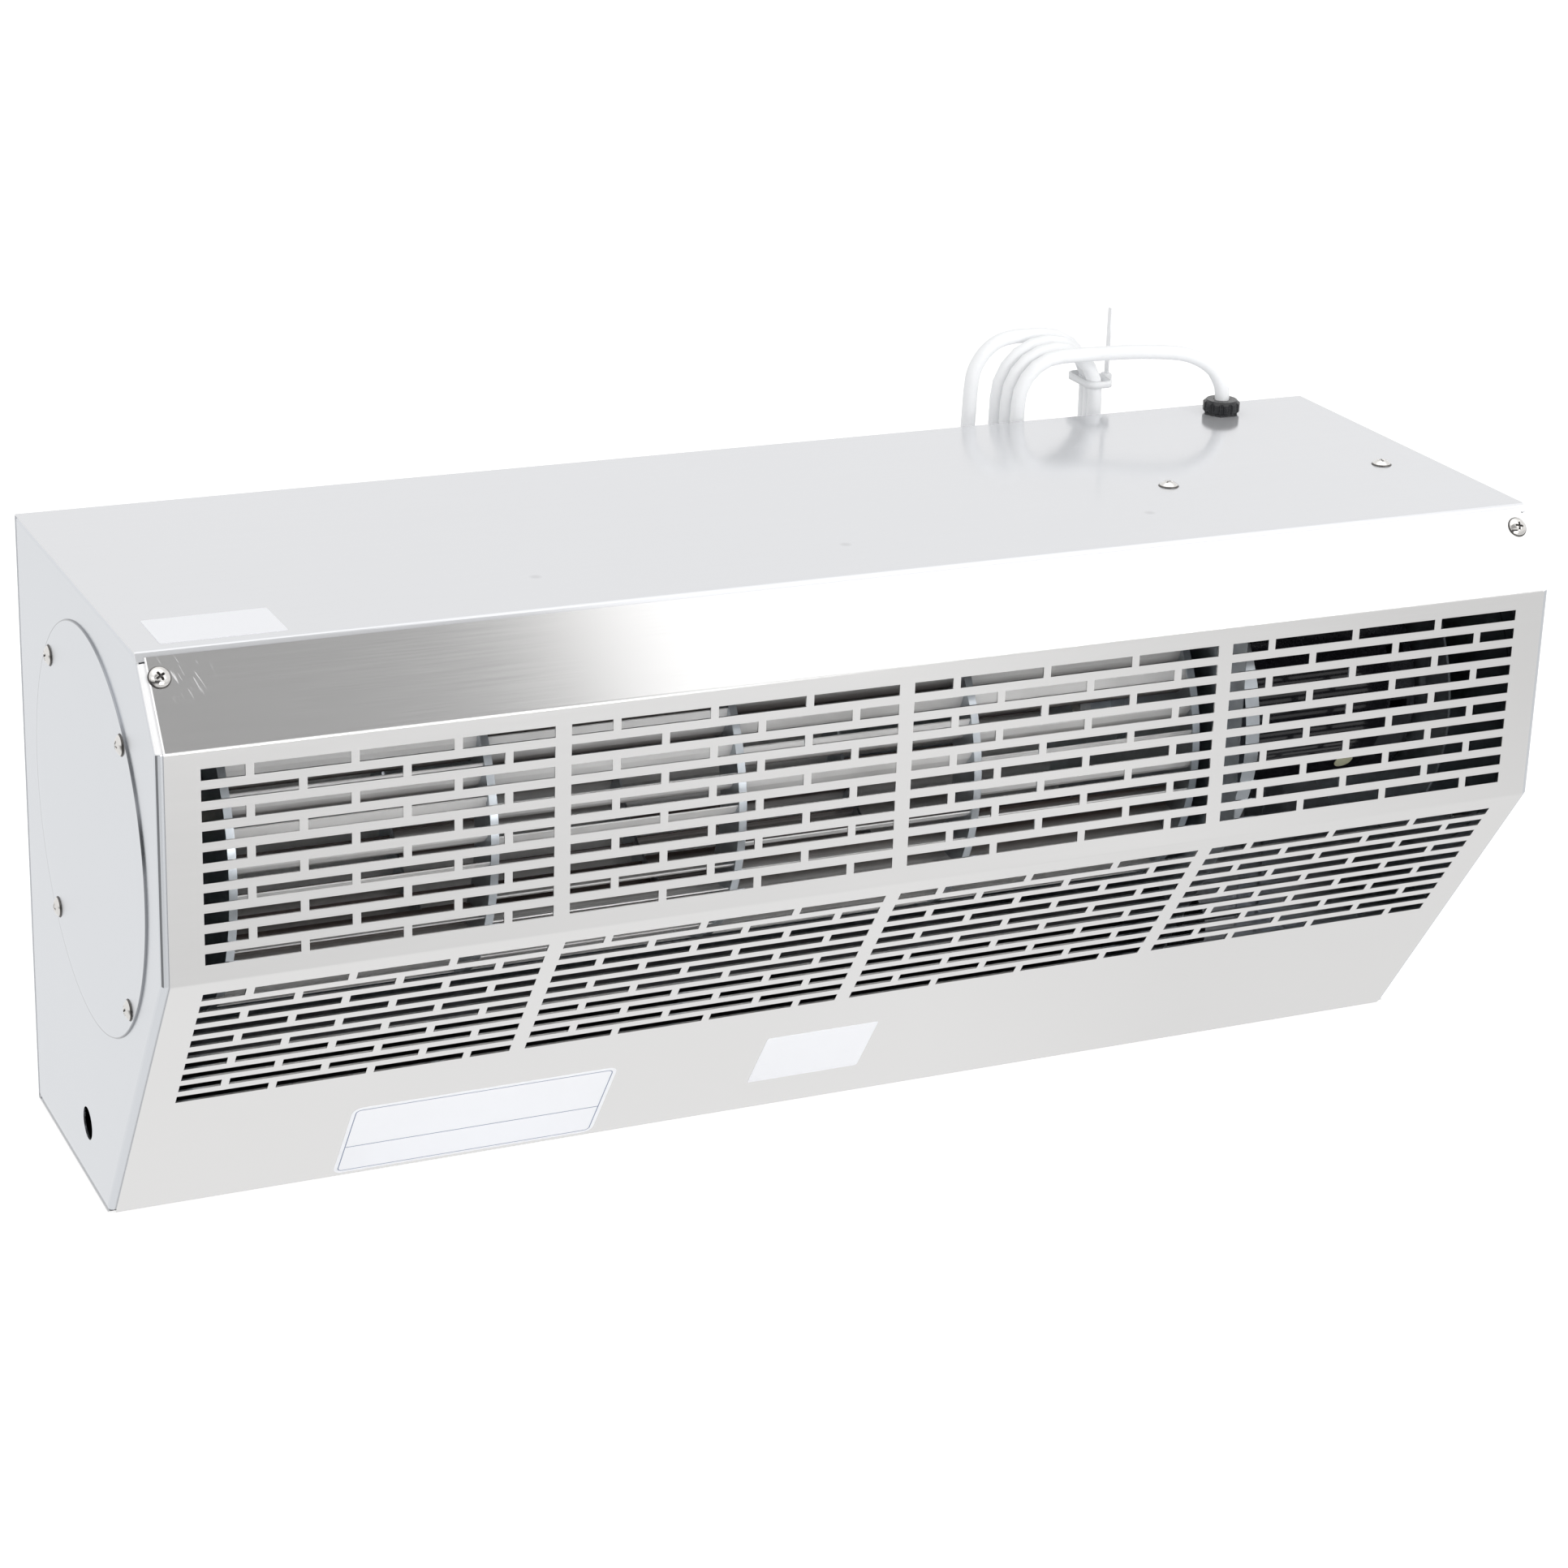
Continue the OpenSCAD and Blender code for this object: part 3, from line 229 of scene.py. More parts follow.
# Shares of X and Z: the noise changes fast across a scratch and slowly along it
SCRATCH_ACROSS, SCRATCH_ALONG = (0.9, 0.45), (-0.045, 0.09)
SCRATCH_SCALE, SCRATCH_RANGE, SCRATCH_TONE = 800.0, (0.64, 0.72), 0.7


def scuffs_and_painted_highlight(g, base):
    """Short pale scratches near the corner screws, and a painted highlight on the cover's bend
    beside the chamfer.
    """
    where = g.place()
    x, _, z = g.xyz(where)

    def in_plane(shares):
        return g.math("ADD", g.math("MULTIPLY", x, shares[0]), g.math("MULTIPLY", z, shares[1]))

    flat = g.add("ShaderNodeCombineXYZ", X=in_plane(SCRATCH_ACROSS), Y=in_plane(SCRATCH_ALONG))
    lines = g.add("ShaderNodeTexNoise", Vector=flat.outputs[0], Scale=SCRATCH_SCALE,
                  Detail=1.0).outputs[0]
    near = 0.0
    for at in SCUFFED_AT:
        near = g.math("MAXIMUM", g.fall(g.distance(where, at), *SCUFF_REACH), near)
    mark = g.math("MULTIPLY", g.ramp(lines, *SCRATCH_RANGE, 0.0, SCRATCH_TONE), near)
    # The painted highlight on the cover's bend joins the scratches
    mark = g.math("MAXIMUM", mark, painted_bend_highlight(g, COVER_BEND_X))
    return g.mix(mark, base, WHITE), mark


def axis_distance(g):
    """How far the shaded point is from the wheel's axis."""
    _, y, z = g.xyz(g.place())
    out_y = g.math("SUBTRACT", y, AXIS_Y * MM)
    out_z = g.math("SUBTRACT", z, AXIS_Z * MM)
    return g.math("SQRT", g.math("ADD", g.math("MULTIPLY", out_y, out_y),
                                 g.math("MULTIPLY", out_z, out_z)))


# The painted shade line round each end cover: its reach from the cover's edge, its strength and
# its colour
SEAM_SHADE_RANGE, SEAM_SHADE_TONE = (0.0004, 0.00072), 0.5
SEAM_SHADE_COLOR = (0.12, 0.12, 0.125, 1.0)


def painted_seam_shade_and_highlight(g, base):
    """A painted line of shade round each end cover, and the painted highlight on the panel's edge
    beside the chamfer.
    """
    off = g.math("ABSOLUTE", g.math("SUBTRACT", axis_distance(g), END_COVER_R * MM))
    line = g.ramp(off, *SEAM_SHADE_RANGE, SEAM_SHADE_TONE, 0.0)
    mark = painted_bend_highlight(g, COVER_EDGE_X)
    return g.mix(mark, g.mix(line, base, SEAM_SHADE_COLOR), WHITE), mark


# Where the painted shade on the blades begins and ends, and its colour
BLADE_SHADE_RANGE = (0.093, 0.104)
BLADE_INNER = (0.17, 0.135, 0.125, 1.0)


def inner_shade(g, base):
    """Painted shade: the wheel's blades are bright at the rim and darken towards the axis."""
    return g.mix(g.fall(axis_distance(g), *BLADE_SHADE_RANGE), base, BLADE_INNER), None


WELDS_AT = [(x, -0.0625, CASE_H * MM) for x in (-0.2004, 0.0013, 0.2134)]
WELD_RANGE, WELD_TONE = (0.0015, 0.0045), 0.35
WELD_COLOR = (0.45, 0.45, 0.46, 1.0)


def weld_marks(g, base):
    """Faint spot-weld marks on the casing's top."""
    for at in WELDS_AT:
        mark = g.ramp(g.distance(g.place(), at), *WELD_RANGE, WELD_TONE, 0.0)
        base = g.mix(mark, base, WELD_COLOR)
    return base, None


# ---- Materials ----

ALONG_X = (900.0, (0.02, 1, 1))
ALONG_Z = (900.0, (1, 1, 0.02))


def evenly(scale):
    return (scale, (1, 1, 1))


# The top's and the ends' copies of the steel are darker in colour than the front's to match how
# light falls on each face: painted shade
material("steel", (0.777, 0.772, 0.768), 1.0, 0.17, ALONG_X, 0.010, 0.00001, spread=0.02,
         extra=scuffs_and_painted_highlight)
material("steel_top", (0.735, 0.742, 0.762), 0.55, 0.13, ALONG_X, 0.008, 0.00001, spread=0.02,
         extra=weld_marks)
material("steel_side", (0.688, 0.708, 0.740), 1.0, 0.24, ALONG_Z, 0.006, 0.00001, spread=0.02,
         extra=painted_seam_shade_and_highlight)
material("zinc", (0.60, 0.64, 0.68), 1.0, 0.38, evenly(120.0), 0.10)
# A copy of the zinc painted dark as shade, for the tongue plate, which lies in shade inside the
# casing
material("zinc_painted_shade", (0.10, 0.10, 0.105), 1.0, 0.45, evenly(120.0), 0.10)
material("screw", (0.74, 0.725, 0.705), 1.0, 0.13, evenly(600.0), 0.05, 0.00001)
# Painted shade on the screws: their cross recesses, rims and shanks
material("recess", (0.13, 0.125, 0.12), 1.0, 0.35, evenly(600.0), 0.2)
material("blade", (0.99, 0.98, 0.965), 0.08, 0.16, ALONG_X, 0.04, 0.00005, extra=inner_shade)
material("motor_black", (0.012, 0.012, 0.015), 0.0, 0.10, coat=0.3, spec=0.3, vary=0.3,
         bump=0.000002, spread=0.01)
material("core", (0.16, 0.15, 0.14), 0.8, 0.5, (900.0, (1, 0.05, 0.05)), 0.2)
material("plastic_black", (0.013, 0.014, 0.016), 0.0, 0.25, vary=0.15, bump=0.00002)
material("plastic_white", (0.86, 0.87, 0.88), 0.0, 0.45, vary=0.03)
material("rubber", (0.03, 0.03, 0.03), 0.0, 0.7, vary=0.2)
material("bronze", (0.45, 0.33, 0.18), 1.0, 0.4, evenly(300.0), 0.12)
material("cord_white", (0.92, 0.93, 0.94), 0.0, 0.48, vary=0.012, bump=0.00005)
material("label", (0.89, 0.90, 0.93), 0.0, 0.34, evenly(60.0), 0.006, 0.00001)
material("label_line", (0.20, 0.24, 0.36), 0.0, 0.35, vary=0.05, bump=0.00003)
material("sticker", (0.72, 0.72, 0.50), 0.0, 0.40, vary=0.05, bump=0.00003)

LOOKS = {entry["node"]: entry["material_slot"] for entry in frame["record"]["subparts"]}
LOOKS["casing_wrap"] = "steel_top"
# The tongue plate takes the copy of the zinc painted dark as shade
LOOKS["tongue_plate"] = "zinc_painted_shade"
for node_name, look in LOOKS.items():
    slots = NODES[node_name].data.materials
    slots.clear()
    slots.append(M[look])


def piece_from(name, build, looks, body, smooth=True):
    """A mesh piece: build fills a bmesh in metres; looks are its materials, the main one first."""
    bm = bmesh.new()
    build(bm)
    bmesh.ops.recalc_face_normals(bm, faces=bm.faces)
    mesh = bpy.data.meshes.new(name)
    bm.to_mesh(mesh)
    bm.free()
    for face in mesh.polygons:
        face.use_smooth = smooth
    obj = bpy.data.objects.new(name, mesh)
    bpy.context.collection.objects.link(obj)
    for look in looks:
        mesh.materials.append(M[look])
    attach(obj, body)
    return obj


# ---- Cord: up out of the gland, over to the hank behind the top edge, and down to its plug ----

CORD_POINTS = [(379, 131.9, 403), (379, 131.9, 408), (378, 132.2, 414), (376, 132.9, 419),
               (372.5, 134, 425), (367, 136, 430), (360, 138.5, 434), (352, 141.5, 436.5),
               (342, 145.5, 437.5), (330, 150.5, 437.5), (318, 156, 437), (306, 161, 436),
               (297, 164.5, 435.2), (290, 166, 435), (280, 166, 435)]
TAIL_POINTS = [(260, 198.7, 442.5), (250, 198.7, 442.5), (237, 198, 440), (226, 197, 432.5),
               (218.5, 195.5, 421.5), (215.5, 193.5, 408.5), (214, 191.5, 395),
               (213, 190.5, 383), (213, 190, 374), (213, 190, 366)]
HANK_X, HANK_Y, HANK_TOP, HANK_RUN = 270.0, 166.0, 404.0, 160.0
HANK_R, HANK_STEP, HANK_LAYER, HANK_TURNS = 31.0, 2.5, 10.9, 3
RINGS_A_LOOP = 48
SMOOTH_STEPS = 5


def hank_point(t):
    """A point t turns along the hank: each loop is wider than the last and lies behind it."""
    r = HANK_R + HANK_STEP * t
    bend = math.pi * (HANK_R + HANK_STEP * HANK_TURNS / 2)
    s = (t - math.floor(t)) * 2 * (bend + HANK_RUN)
    y = HANK_Y + HANK_LAYER * t

    def turned(angle, z):
        a = math.radians(angle)
        return (HANK_X + r * math.cos(a), y, z + r * math.sin(a))

    if s < bend / 2:
        return turned(90 + 180 * s / bend, HANK_TOP)
    if s < bend / 2 + HANK_RUN:
        return (HANK_X - r, y, HANK_TOP - (s - bend / 2))
    if s < 1.5 * bend + HANK_RUN:
        return turned(180 + 180 * (s - bend / 2 - HANK_RUN) / bend, HANK_TOP - HANK_RUN)
    if s < 1.5 * bend + 2 * HANK_RUN:
        return (HANK_X + r, y, HANK_TOP - HANK_RUN + (s - 1.5 * bend - HANK_RUN))
    return turned(180 * (s - 1.5 * bend - 2 * HANK_RUN) / bend, HANK_TOP)


def smoothed(points):
    """Catmull-Rom through the points."""
    p = [Vector(q) for q in points]
    p = [2 * p[0] - p[1]] + p + [2 * p[-1] - p[-2]]
    made = []
    for i in range(1, len(p) - 2):
        for k in range(SMOOTH_STEPS):
            t = k / SMOOTH_STEPS
            made.append(0.5 * (2 * p[i] + (p[i + 1] - p[i - 1]) * t
                               + (2 * p[i - 1] - 5 * p[i] + 4 * p[i + 1] - p[i + 2]) * t * t
                               + (3 * p[i] - p[i - 1] - 3 * p[i + 1] + p[i + 2]) * t ** 3))
    return made + [p[-2]]


def make_cord(tie):
    loops = [Vector(hank_point(k / RINGS_A_LOOP)) for k in range(HANK_TURNS * RINGS_A_LOOP + 1)]
    route = smoothed(CORD_POINTS) + loops + smoothed(TAIL_POINTS)
    route = [p * MM for p in route]
    data = bpy.data.curves.new("cord", "CURVE")
    data.dimensions = "3D"
    data.bevel_depth = CORD_D / 2 * MM
    data.bevel_resolution = 5
    data.use_fill_caps = True
    spline = data.splines.new("POLY")
    spline.points.add(len(route) - 1)
    for point, p in zip(spline.points, route):
        point.co = (*p, 1.0)
    spline.use_smooth = True
    cord = bpy.data.objects.new("cord", data)
    bpy.context.collection.objects.link(cord)
    data.materials.append(M["cord_white"])
    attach(cord, "casing")
    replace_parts(cord, "power_cord", "cord_hank", "cord_tail")


TIE_UP, TIE_W, TIE_BAND, TIE_SLACK, TIE_TAIL = 7.0, 5.0, 1.4, 1.0, 46.0
TIE_CORNER, TIE_BEVEL = 5.0, 0.3
LOCK_OUT, LOCK_HALF_H, LOCK_BEVEL, LOCK_ROUND = 2.6, 3.5, 0.5, 0.45
LOCK_HALF, TAIL_HALF = (2.8, 3.8), (0.6, 2.3)
LOCK_CORNER_STEPS = 3
STRAND_STEPS = 400


def strand_at(z, first, last):
    """Where the hank's right-hand strand between two turns crosses height z."""
    for k in range(STRAND_STEPS):
        a, b = (hank_point(first + (last - first) * (k + i) / STRAND_STEPS) for i in (0, 1))
        if a[0] > HANK_X and a[2] <= z <= b[2]:
            return a[:2]
    raise ValueError("no strand at that height")


def rounded_rect(half_x, half_y, radius, steps=6):
    """Points round a rectangle with round corners."""
    points = []
    for sx, sy, start in ((1, 1, 0), (-1, 1, 90), (-1, -1, 180), (1, -1, 270)):
        for k in range(steps + 1):
            a = math.radians(start + 90 * k / steps)
            points.append((sx * (half_x - radius) + radius * math.cos(a),
                           sy * (half_y - radius) + radius * math.sin(a)))
    return points


def stack(bm, loops, close_ends=True):
    """Skins a row of equal loops of vertices."""
    for a, b in zip(loops, loops[1:]):
        for j in range(len(a)):
            i = (j + 1) % len(a)
            bm.faces.new((a[j], a[i], b[i], b[j]))
    if close_ends:
        bm.faces.new(loops[0][::-1])
        bm.faces.new(loops[-1])


def make_tie():
    """A band round the right-hand strands, with its lock and its tail on the right."""
    z = HANK_TOP + TIE_UP
    strands = [strand_at(z, turn + 0.55, turn + 0.99) for turn in range(HANK_TURNS)]
    (low_x, high_x), (low_y, high_y) = ((min(v), max(v)) for v in zip(*strands))
    mid, y = (low_x + high_x) / 2, (low_y + high_y) / 2
    half_x = (high_x - low_x + CORD_D) / 2 + TIE_SLACK
    half_y = (high_y - low_y + CORD_D) / 2 + TIE_SLACK / 2
    lock_x = half_x + TIE_BAND + LOCK_OUT

    def ring(bm, points, dx, dz):
        return [bm.verts.new(Vector((mid + dx + px, y + py, z + dz)) * MM) for px, py in points]

    def build(bm):
        half_w = TIE_W / 2
        loops = []
        for grow, dz in ((0, -half_w), (TIE_BAND, -half_w + TIE_BEVEL),
                         (TIE_BAND, half_w - TIE_BEVEL), (0, half_w), (0, -half_w)):
            points = rounded_rect(half_x + grow, half_y + grow, TIE_CORNER + grow)
            loops.append(ring(bm, points, 0, dz))
        stack(bm, loops, close_ends=False)
        bmesh.ops.remove_doubles(bm, verts=bm.verts, dist=1e-6)
        for (hx, hy), z0, z1 in ((LOCK_HALF, -LOCK_HALF_H, LOCK_HALF_H),
                                 (TAIL_HALF, LOCK_HALF_H, LOCK_HALF_H + TIE_TAIL)):
            rows = []
            for inset, dz in ((LOCK_BEVEL, z0), (0.0, z0 + LOCK_BEVEL),
                              (0.0, z1 - LOCK_BEVEL), (LOCK_BEVEL, z1)):
                points = rounded_rect(hx - inset * hx / hy, hy - inset,
                                      min(hx, hy) * LOCK_ROUND, LOCK_CORNER_STEPS)
                rows.append(ring(bm, points, lock_x, dz))
            stack(bm, rows)

    tie = piece_from("hank_tie", build, ("plastic_white",), "casing")
    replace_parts(tie, "cord_tie")
    return tie


make_cord(make_tie())

# ---- Screws with a cross recess ----

RECESS_DEPTH, RECESS_REACH, RECESS_HALF = 1.7, 2.9, 0.62
RECESS_SIDE_RUN, RECESS_END_RUN = 0.22, 1.1
# The outermost rings of a head, like its recess, are painted dark as shade
HEAD_RINGS, HEAD_SIDES, PAINTED_SHADE_RING = 26, 96, 22
FIRST_SPIN, NEXT_SPIN = 0.5, 0.83


def head_height(x, y):
    ball = (HEAD_D ** 2 / 4 + HEAD_H ** 2) / (2 * HEAD_H)
    dome = math.sqrt(max(0.0, ball * ball - x * x - y * y)) - (ball - HEAD_H)
    thin, long = sorted((abs(x), abs(y)))
    side = min(1.0, max(0.0, (RECESS_HALF - thin) / RECESS_SIDE_RUN + 0.5))
    end = min(1.0, max(0.0, (RECESS_REACH - long) / RECESS_END_RUN))
    return max(dome - RECESS_DEPTH * side * end, 0.0)


def add_screw(bm, at, normal, spin):
    """A dome with a cross cut in it, over a plain shank. The recess, the rim and what lies
    below the rim are painted dark as shade."""
    turn = Vector(normal).to_track_quat("Z", "Y").to_matrix() @ Matrix.Rotation(spin, 3, "Z")
    at = Vector(at)

    def vert(x, y, z):
        return bm.verts.new((at + turn @ Vector((x, y, z))) * MM)

    centre = vert(0, 0, head_height(0, 0))
    around = [2 * math.pi * j / HEAD_SIDES for j in range(HEAD_SIDES)]
    rings = []
    for k in range(1, HEAD_RINGS + 1):
        r = HEAD_D / 2 * k / HEAD_RINGS
        edge = [(r * math.cos(a), r * math.sin(a)) for a in around]
        rings.append([vert(x, y, head_height(x, y)) for x, y in edge])
    for z in (0.0, -SCREW_L):
        rings.append([vert(SCREW_D / 2 * math.cos(a), SCREW_D / 2 * math.sin(a), z)
                      for a in around])
    for j in range(HEAD_SIDES):
        face = bm.faces.new((centre, rings[0][j], rings[0][(j + 1) % HEAD_SIDES]))
        face.material_index = 1
    for k, (a, b) in enumerate(zip(rings, rings[1:])):
        mid_r = HEAD_D / 2 * (k + 1.5) / HEAD_RINGS
        for j in range(HEAD_SIDES):
            i = (j + 1) % HEAD_SIDES
            face = bm.faces.new((a[j], b[j], b[i], a[i]))
            angle = 2 * math.pi * (j + 0.5) / HEAD_SIDES
            thin, long = sorted((abs(mid_r * math.cos(angle)), abs(mid_r * math.sin(angle))))
            # The recess and the outer rings take the painted shade
            if (thin < RECESS_HALF and long < RECESS_REACH) or k >= PAINTED_SHADE_RING:
                face.material_index = 1
    bm.faces.new(rings[-1])


def along(top, end, down):
    """A point on a front face, down millimetres from its upper bend, and the face's normal."""
    d = Vector((end[0] - top[0], end[1] - top[1])).normalized()
    return (top[0] + d.x * down, top[1] + d.y * down), (0, d.y, -d.x)


def screws(name, node, places):
    def build(bm):
        for i, (at, normal) in enumerate(places):
            add_screw(bm, at, normal, FIRST_SPIN + NEXT_SPIN * i)

    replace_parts(piece_from(name, build, ("screw", "recess"), "casing"), node)


CORNER_X, CORNER_DROP = CASE_W / 2 - 10.8, 15.5
TOP_SCREW_XS, TOP_SCREW_Y = (255.0, 417.0), -13.5
COVER_SCREW_R, COVER_SCREW_ANGLES = 115.5, (45, 135, 225, 315)

corner_yz, corner_n = along(CHAMFER_TOP, CHAMFER_END, CORNER_DROP)
screws("corner_screws", "front_cover_screws",
       [((s * CORNER_X, *corner_yz), corner_n) for s in (-1, 1)])
screws("top_screws", "bracket_screws",
       [((x, TOP_SCREW_Y, CASE_H), (0, 0, 1)) for x in TOP_SCREW_XS])
for side, word in ((-1, "left"), (1, "right")):
    ring = [((side * (CASE_W / 2 + SHEET), AXIS_Y + COVER_SCREW_R * math.cos(math.radians(a)),
              AXIS_Z + COVER_SCREW_R * math.sin(math.radians(a))), (side, 0, 0))
            for a in COVER_SCREW_ANGLES]
    screws("cover_screws_" + word, "end_cover_screws_" + word, ring)

# ---- Bare labels ----

LABEL_T, LABEL_WALL, LABEL_BEVEL = 0.2, 0.12, 0.12
LINE_IN, LINE_W, LINE_LIFT = 2.4, 0.7, 0.03
SHARPEST_CORNER = 0.3


def label(name, corner, along_v, width, height, radius, divided=None):
    """A thin plate with round corners, in millimetres, with its width along X. A divided one has
    a printed line round it and one across it, at that share of its height."""
    u, v = Vector((1, 0, 0)), Vector(along_v).normalized()
    n = u.cross(v)

    def place(x, y, lift):
        return (Vector(corner) + u * x + v * y + n * lift) * MM

    def ring(bm, inset, lift):
        points = rounded_rect(width / 2 - inset, height / 2 - inset,
                              max(SHARPEST_CORNER, radius - inset))
        return [bm.verts.new(place(width / 2 + x, height / 2 + y, lift)) for x, y in points]

    def print_faces(bm, first, last):
        bm.faces.ensure_lookup_table()
        for face in bm.faces[first:last]:
            face.material_index = 1

    def build(bm):
        levels = [(0.0, 0.0), (0.0, LABEL_WALL), (LABEL_BEVEL, LABEL_T)]
        if divided:
            levels += [(LINE_IN, LABEL_T), (LINE_IN + LINE_W, LABEL_T)]
        rows = [ring(bm, inset, lift) for inset, lift in levels]
        stack(bm, rows)
        if not divided:
            return
        print_faces(bm, 3 * len(rows[0]), 4 * len(rows[0]))
        y = height * divided
        low, high = LINE_IN + LINE_W, width - LINE_IN - LINE_W
        bars = [[bm.verts.new(place(x, y + dy, lift)) for x, dy in
                 ((low, 0), (high, 0), (high, LINE_W), (low, LINE_W))]
                for lift in (LABEL_T, LABEL_T + LINE_LIFT)]
        before = len(bm.faces)
        stack(bm, bars)
        print_faces(bm, before, len(bm.faces))

    piece_from(name, build, ("label", "label_line"), "casing", smooth=False)


label("top_label", (-440.0, -109.5, CASE_H), (0, 1, 0), 74.0, 42.0, 1.5)
UP_SLANT = (0, SLANT_TOP[0] - SLANT_END[0], SLANT_TOP[1] - SLANT_END[1])
# Name, left edge, width, distance of its upper and lower edge from the bend, corner, divided at
for name, x0, width, upper, lower, radius, divided in (
        ("slant_label_large", -315.4, 173.4, 170.0, 248.0, 6.0, 0.40),
        ("slant_label_small", -41.0, 78.0, 165.0, 218.0, 1.5, None)):
    slant_yz, _ = along(SLANT_TOP, SLANT_END, lower)
    label(name, (x0, *slant_yz), UP_SLANT, width, lower - upper, radius, divided)

# ---- A round sticker on the motor's shell ----

MOTOR_R = 71.0
STICKER_X, STICKER_ANGLE, STICKER_R, STICKER_T = 373.8, 213.8, 6.5, 0.25
STICKER_SIDES = 48


def build_sticker(bm):
    rows = []
    for lift, size in ((0.0, 1.0), (STICKER_T, 1.0), (STICKER_T, 0.9), (STICKER_T, 0.02)):
        row = []
        for k in range(STICKER_SIDES):
            a = 2 * math.pi * k / STICKER_SIDES
            turn = math.radians(STICKER_ANGLE) + STICKER_R * size * math.sin(a) / MOTOR_R
            r = MOTOR_R + lift
            row.append(bm.verts.new(Vector((STICKER_X + STICKER_R * size * math.cos(a),
                                            AXIS_Y + r * math.cos(turn),
                                            AXIS_Z + r * math.sin(turn))) * MM))
        rows.append(row)
    stack(bm, rows)


piece_from("motor_sticker", build_sticker, ("sticker",), "casing")

# ---- Floor ----

FLOOR_HALF, FLOOR_DROP = 9.0, 0.0005
PLAIN_WHITE = (1.0, 1.0, 1.0, 1.0)
FLOOR_COLOR, FLOOR_WHITE = (0.9, 0.9, 0.9, 1.0), 0.4

# What reflections see of the floor, in metres: near the casing it is white and a little darker
# to the right, in front it is darker with a lighter middle, and under the casing it is black.
# Beyond the front left edge it is dark, which draws that edge as a line
FLOOR_NEAR, FLOOR_NEAR_RIGHT, NEAR_X = 0.965, 0.905, (0.10, 0.30)
FLOOR_FAR, FLOOR_FAR_MIDDLE, MIDDLE_X = 0.80, 0.955, (-0.35, 0.44, 0.98)
NEAR_Y = (-0.62, -0.28)
FLOOR_DARK, WEDGE_ANGLE, WEDGE_RANGE, WEDGE_X = 0.25, 25, (16, 38), (-0.62, -0.54)
UNDER_X, UNDER_FRONT_Y, UNDER_BACK_Y = (0.40, 0.43), (0.01, 0.04), (0.14, 0.18)


def floor_mirror(g):
    x, y, _ = g.xyz(g.place())
    middle = g.math("MINIMUM", g.ramp(x, *MIDDLE_X[:2]), g.fall(x, *MIDDLE_X[1:]))
    far = g.ramp(middle, 0.0, 1.0, FLOOR_FAR, FLOOR_FAR_MIDDLE)
    near = g.ramp(x, *NEAR_X, FLOOR_NEAR, FLOOR_NEAR_RIGHT)
    level = g.ramp(y, *NEAR_Y, far, near)
    angle = g.math("ARCTAN2", g.math("ADD", y, CASE_D / 2 * MM),
                   g.math("MULTIPLY", g.math("ADD", x, CASE_W / 2 * MM), -1.0))
    off = g.math("ABSOLUTE", g.math("ADD", angle, math.radians(WEDGE_ANGLE)))
    wedge = g.math("MULTIPLY", g.fall(off, *map(math.radians, WEDGE_RANGE)),
                   g.fall(x, *WEDGE_X))
    level = g.math("MULTIPLY", level, g.ramp(wedge, 0.0, 1.0, 1.0, FLOOR_DARK))
    beside = g.ramp(g.math("ABSOLUTE", x), *UNDER_X)
    ends = g.math("MAXIMUM", g.fall(y, *UNDER_FRONT_Y), g.ramp(y, *UNDER_BACK_Y))
    return g.math("MULTIPLY", level, g.math("MAXIMUM", beside, ends))


def mirrored_ray(g, rays):
    return g.math("MAXIMUM", rays.outputs["Is Glossy Ray"], rays.outputs["Is Transmission Ray"])


def floor_material():
    """A matte floor, white to the camera, that reflections see as floor_mirror says."""
    mat = bpy.data.materials.new("floor")
    mat.use_nodes = True
    g = Graph(mat.node_tree)
    rays = g.add("ShaderNodeLightPath")
    matte = g.add("ShaderNodeBsdfDiffuse", Color=FLOOR_COLOR)
    white = g.add("ShaderNodeEmission", Color=PLAIN_WHITE)
    g.put(white, "Strength", g.math("MULTIPLY", rays.outputs["Is Camera Ray"], FLOOR_WHITE))
    seen = g.add("ShaderNodeAddShader")
    g.put(seen, "#0", matte.outputs[0])
    g.put(seen, "#1", white.outputs[0])
    mirrored = g.add("ShaderNodeEmission", Color=PLAIN_WHITE, Strength=floor_mirror(g))
    both = g.add("ShaderNodeMixShader")
    g.put(both, "#0", mirrored_ray(g, rays))
    g.put(both, "#1", seen.outputs[0])
    g.put(both, "#2", mirrored.outputs[0])
    g.add("ShaderNodeOutputMaterial", Surface=both.outputs[0])
    return mat


def add_quad(name, corners, mat):
    mesh = bpy.data.meshes.new(name)
    mesh.from_pydata(corners, [], [(0, 1, 2, 3)])
    mesh.materials.append(mat)
    quad = bpy.data.objects.new(name, mesh)
    bpy.context.collection.objects.link(quad)
    return quad


floor = add_quad("floor", [(sx * FLOOR_HALF, sy * FLOOR_HALF, 0)
                           for sx, sy in ((-1, -1), (1, -1), (1, 1), (-1, 1))],
                 floor_material())
floor.location.z = -FLOOR_DROP

# ---- World: white, with a dark room and a bright ceiling that only reflections see ----

WORLD_LIGHT = 0.86
# Low in front on the left it is dark, which gives shiny screws their dark edges
ROOM_DARK, AHEAD_Y, LEFT_X, LOW_Z = 0.10, (-0.35, -0.10), (0.02, 0.2), (0.30, 0.45)
# Overhead it is bright, which draws the bend along the top as a light line
ROOM_LIGHT, CEILING_Z = 1.5, (0.72, 0.88)


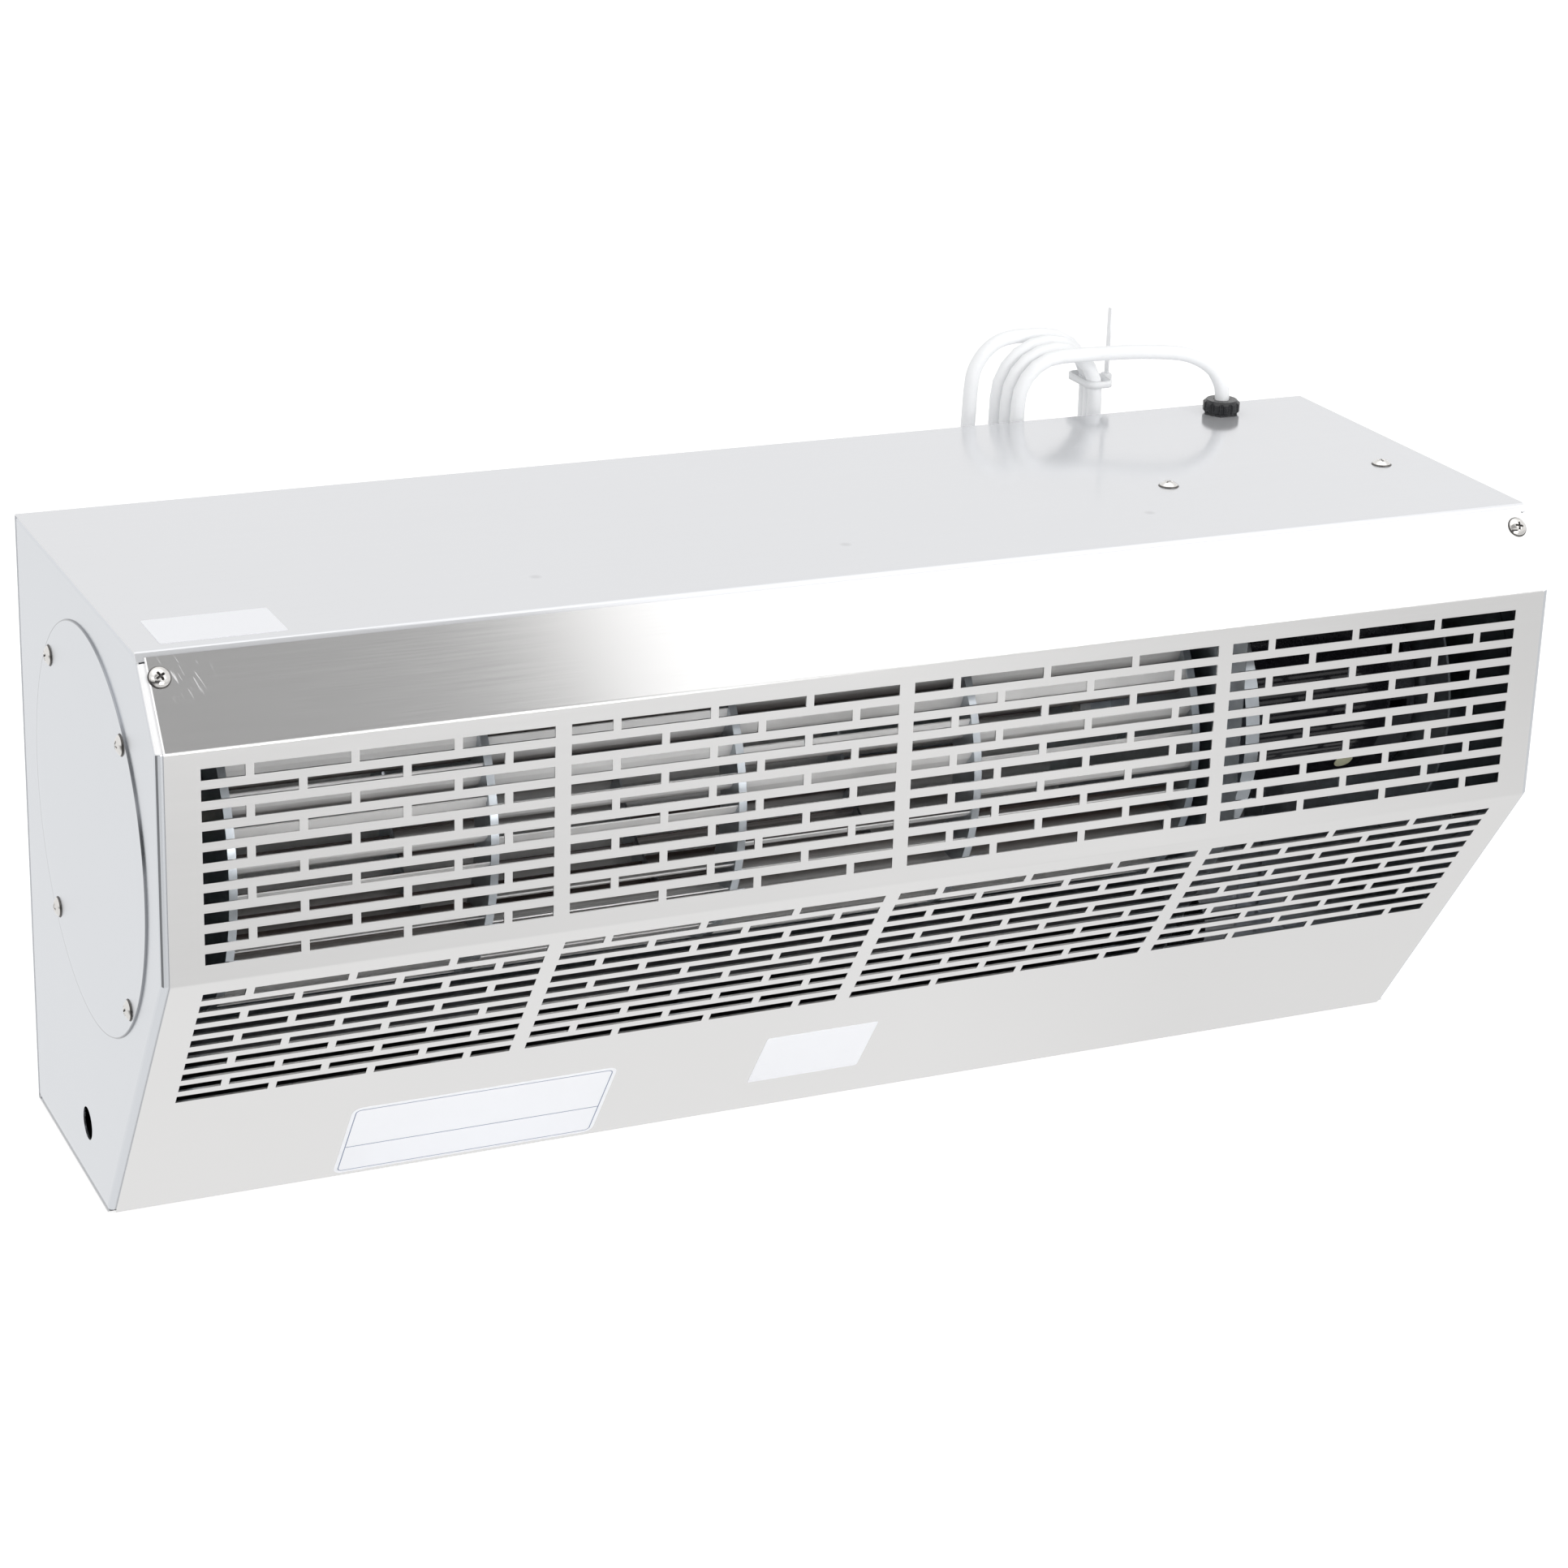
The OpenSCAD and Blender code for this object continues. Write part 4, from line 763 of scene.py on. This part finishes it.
def make_world():
    world = bpy.data.worlds.new("studio")
    bpy.context.scene.world = world
    world.use_nodes = True
    g = Graph(world.node_tree)
    rays = g.add("ShaderNodeLightPath")
    glossy = rays.outputs["Is Glossy Ray"]
    seen = g.math("MAXIMUM", rays.outputs["Is Camera Ray"], mirrored_ray(g, rays))
    x, y, z = g.xyz(g.add("ShaderNodeTexCoord").outputs["Generated"])
    ahead = g.math("MULTIPLY", g.fall(y, *AHEAD_Y), g.fall(x, *LEFT_X))
    dark = g.math("MULTIPLY", g.math("MULTIPLY", ahead, g.fall(z, *LOW_Z)), glossy)
    ceiling = g.math("MULTIPLY", g.ramp(z, *CEILING_Z), glossy)
    level = g.ramp(seen, 0.0, 1.0, WORLD_LIGHT, 1.0)
    level = g.math("MULTIPLY", level, g.ramp(dark, 0.0, 1.0, 1.0, ROOM_DARK))
    level = g.math("MULTIPLY", level, g.ramp(ceiling, 0.0, 1.0, 1.0, ROOM_LIGHT))
    back = g.add("ShaderNodeBackground", Color=PLAIN_WHITE, Strength=level)
    g.add("ShaderNodeOutputWorld", Surface=back.outputs[0])


make_world()

# ---- A grey card up in front, seen only in reflections: the chamfer's left part mirrors it ----

CARD_CORNERS = [(-1.6, -1.3, 1.2), (1.9, -1.3, 1.2), (1.9, -0.9, 3.0), (-1.6, -0.9, 3.0)]
CARD_RANGE_X, CARD_DARK, CARD_LIGHT = (0.41, 0.55), 0.43, 1.5


def card_material():
    mat = bpy.data.materials.new("card")
    mat.use_nodes = True
    g = Graph(mat.node_tree)
    x = g.xyz(g.place())[0]
    grey = g.add("ShaderNodeEmission", Color=PLAIN_WHITE,
                 Strength=g.ramp(x, *CARD_RANGE_X, CARD_DARK, CARD_LIGHT))
    g.add("ShaderNodeOutputMaterial", Surface=grey.outputs[0])
    return mat


card = add_quad("card", CARD_CORNERS, card_material())
for ray in ("camera", "diffuse", "shadow", "transmission", "volume_scatter"):
    setattr(card, "visible_" + ray, False)

# ---- Lamps ----


def lamp(name, at, towards, size, power):
    data = bpy.data.lights.new(name, "AREA")
    data.shape = "RECTANGLE"
    data.size, data.size_y = size
    data.energy = power
    obj = bpy.data.objects.new(name, data)
    bpy.context.collection.objects.link(obj)
    obj.location = at
    obj.rotation_euler = (Vector(towards) - Vector(at)).to_track_quat("-Z", "Y").to_euler()


# The key is high enough to stay out of the top's reflections when it is seen from behind. The
# front lamp is low and faces the slots
lamp("key", (1.80, -2.16, 1.90), (0.37, 0, 0.25), (0.75, 0.5), 18.0)
lamp("fill", (-2.4, -1.6, 1.6), (0, 0, 0.2), (1.6, 1.6), 5.0)
lamp("front", (0.10, -2.2, 0.28), (0.05, 0, 0.25), (1.2, 0.5), 11.0)

bpy.context.scene.view_settings.view_transform = "Standard"
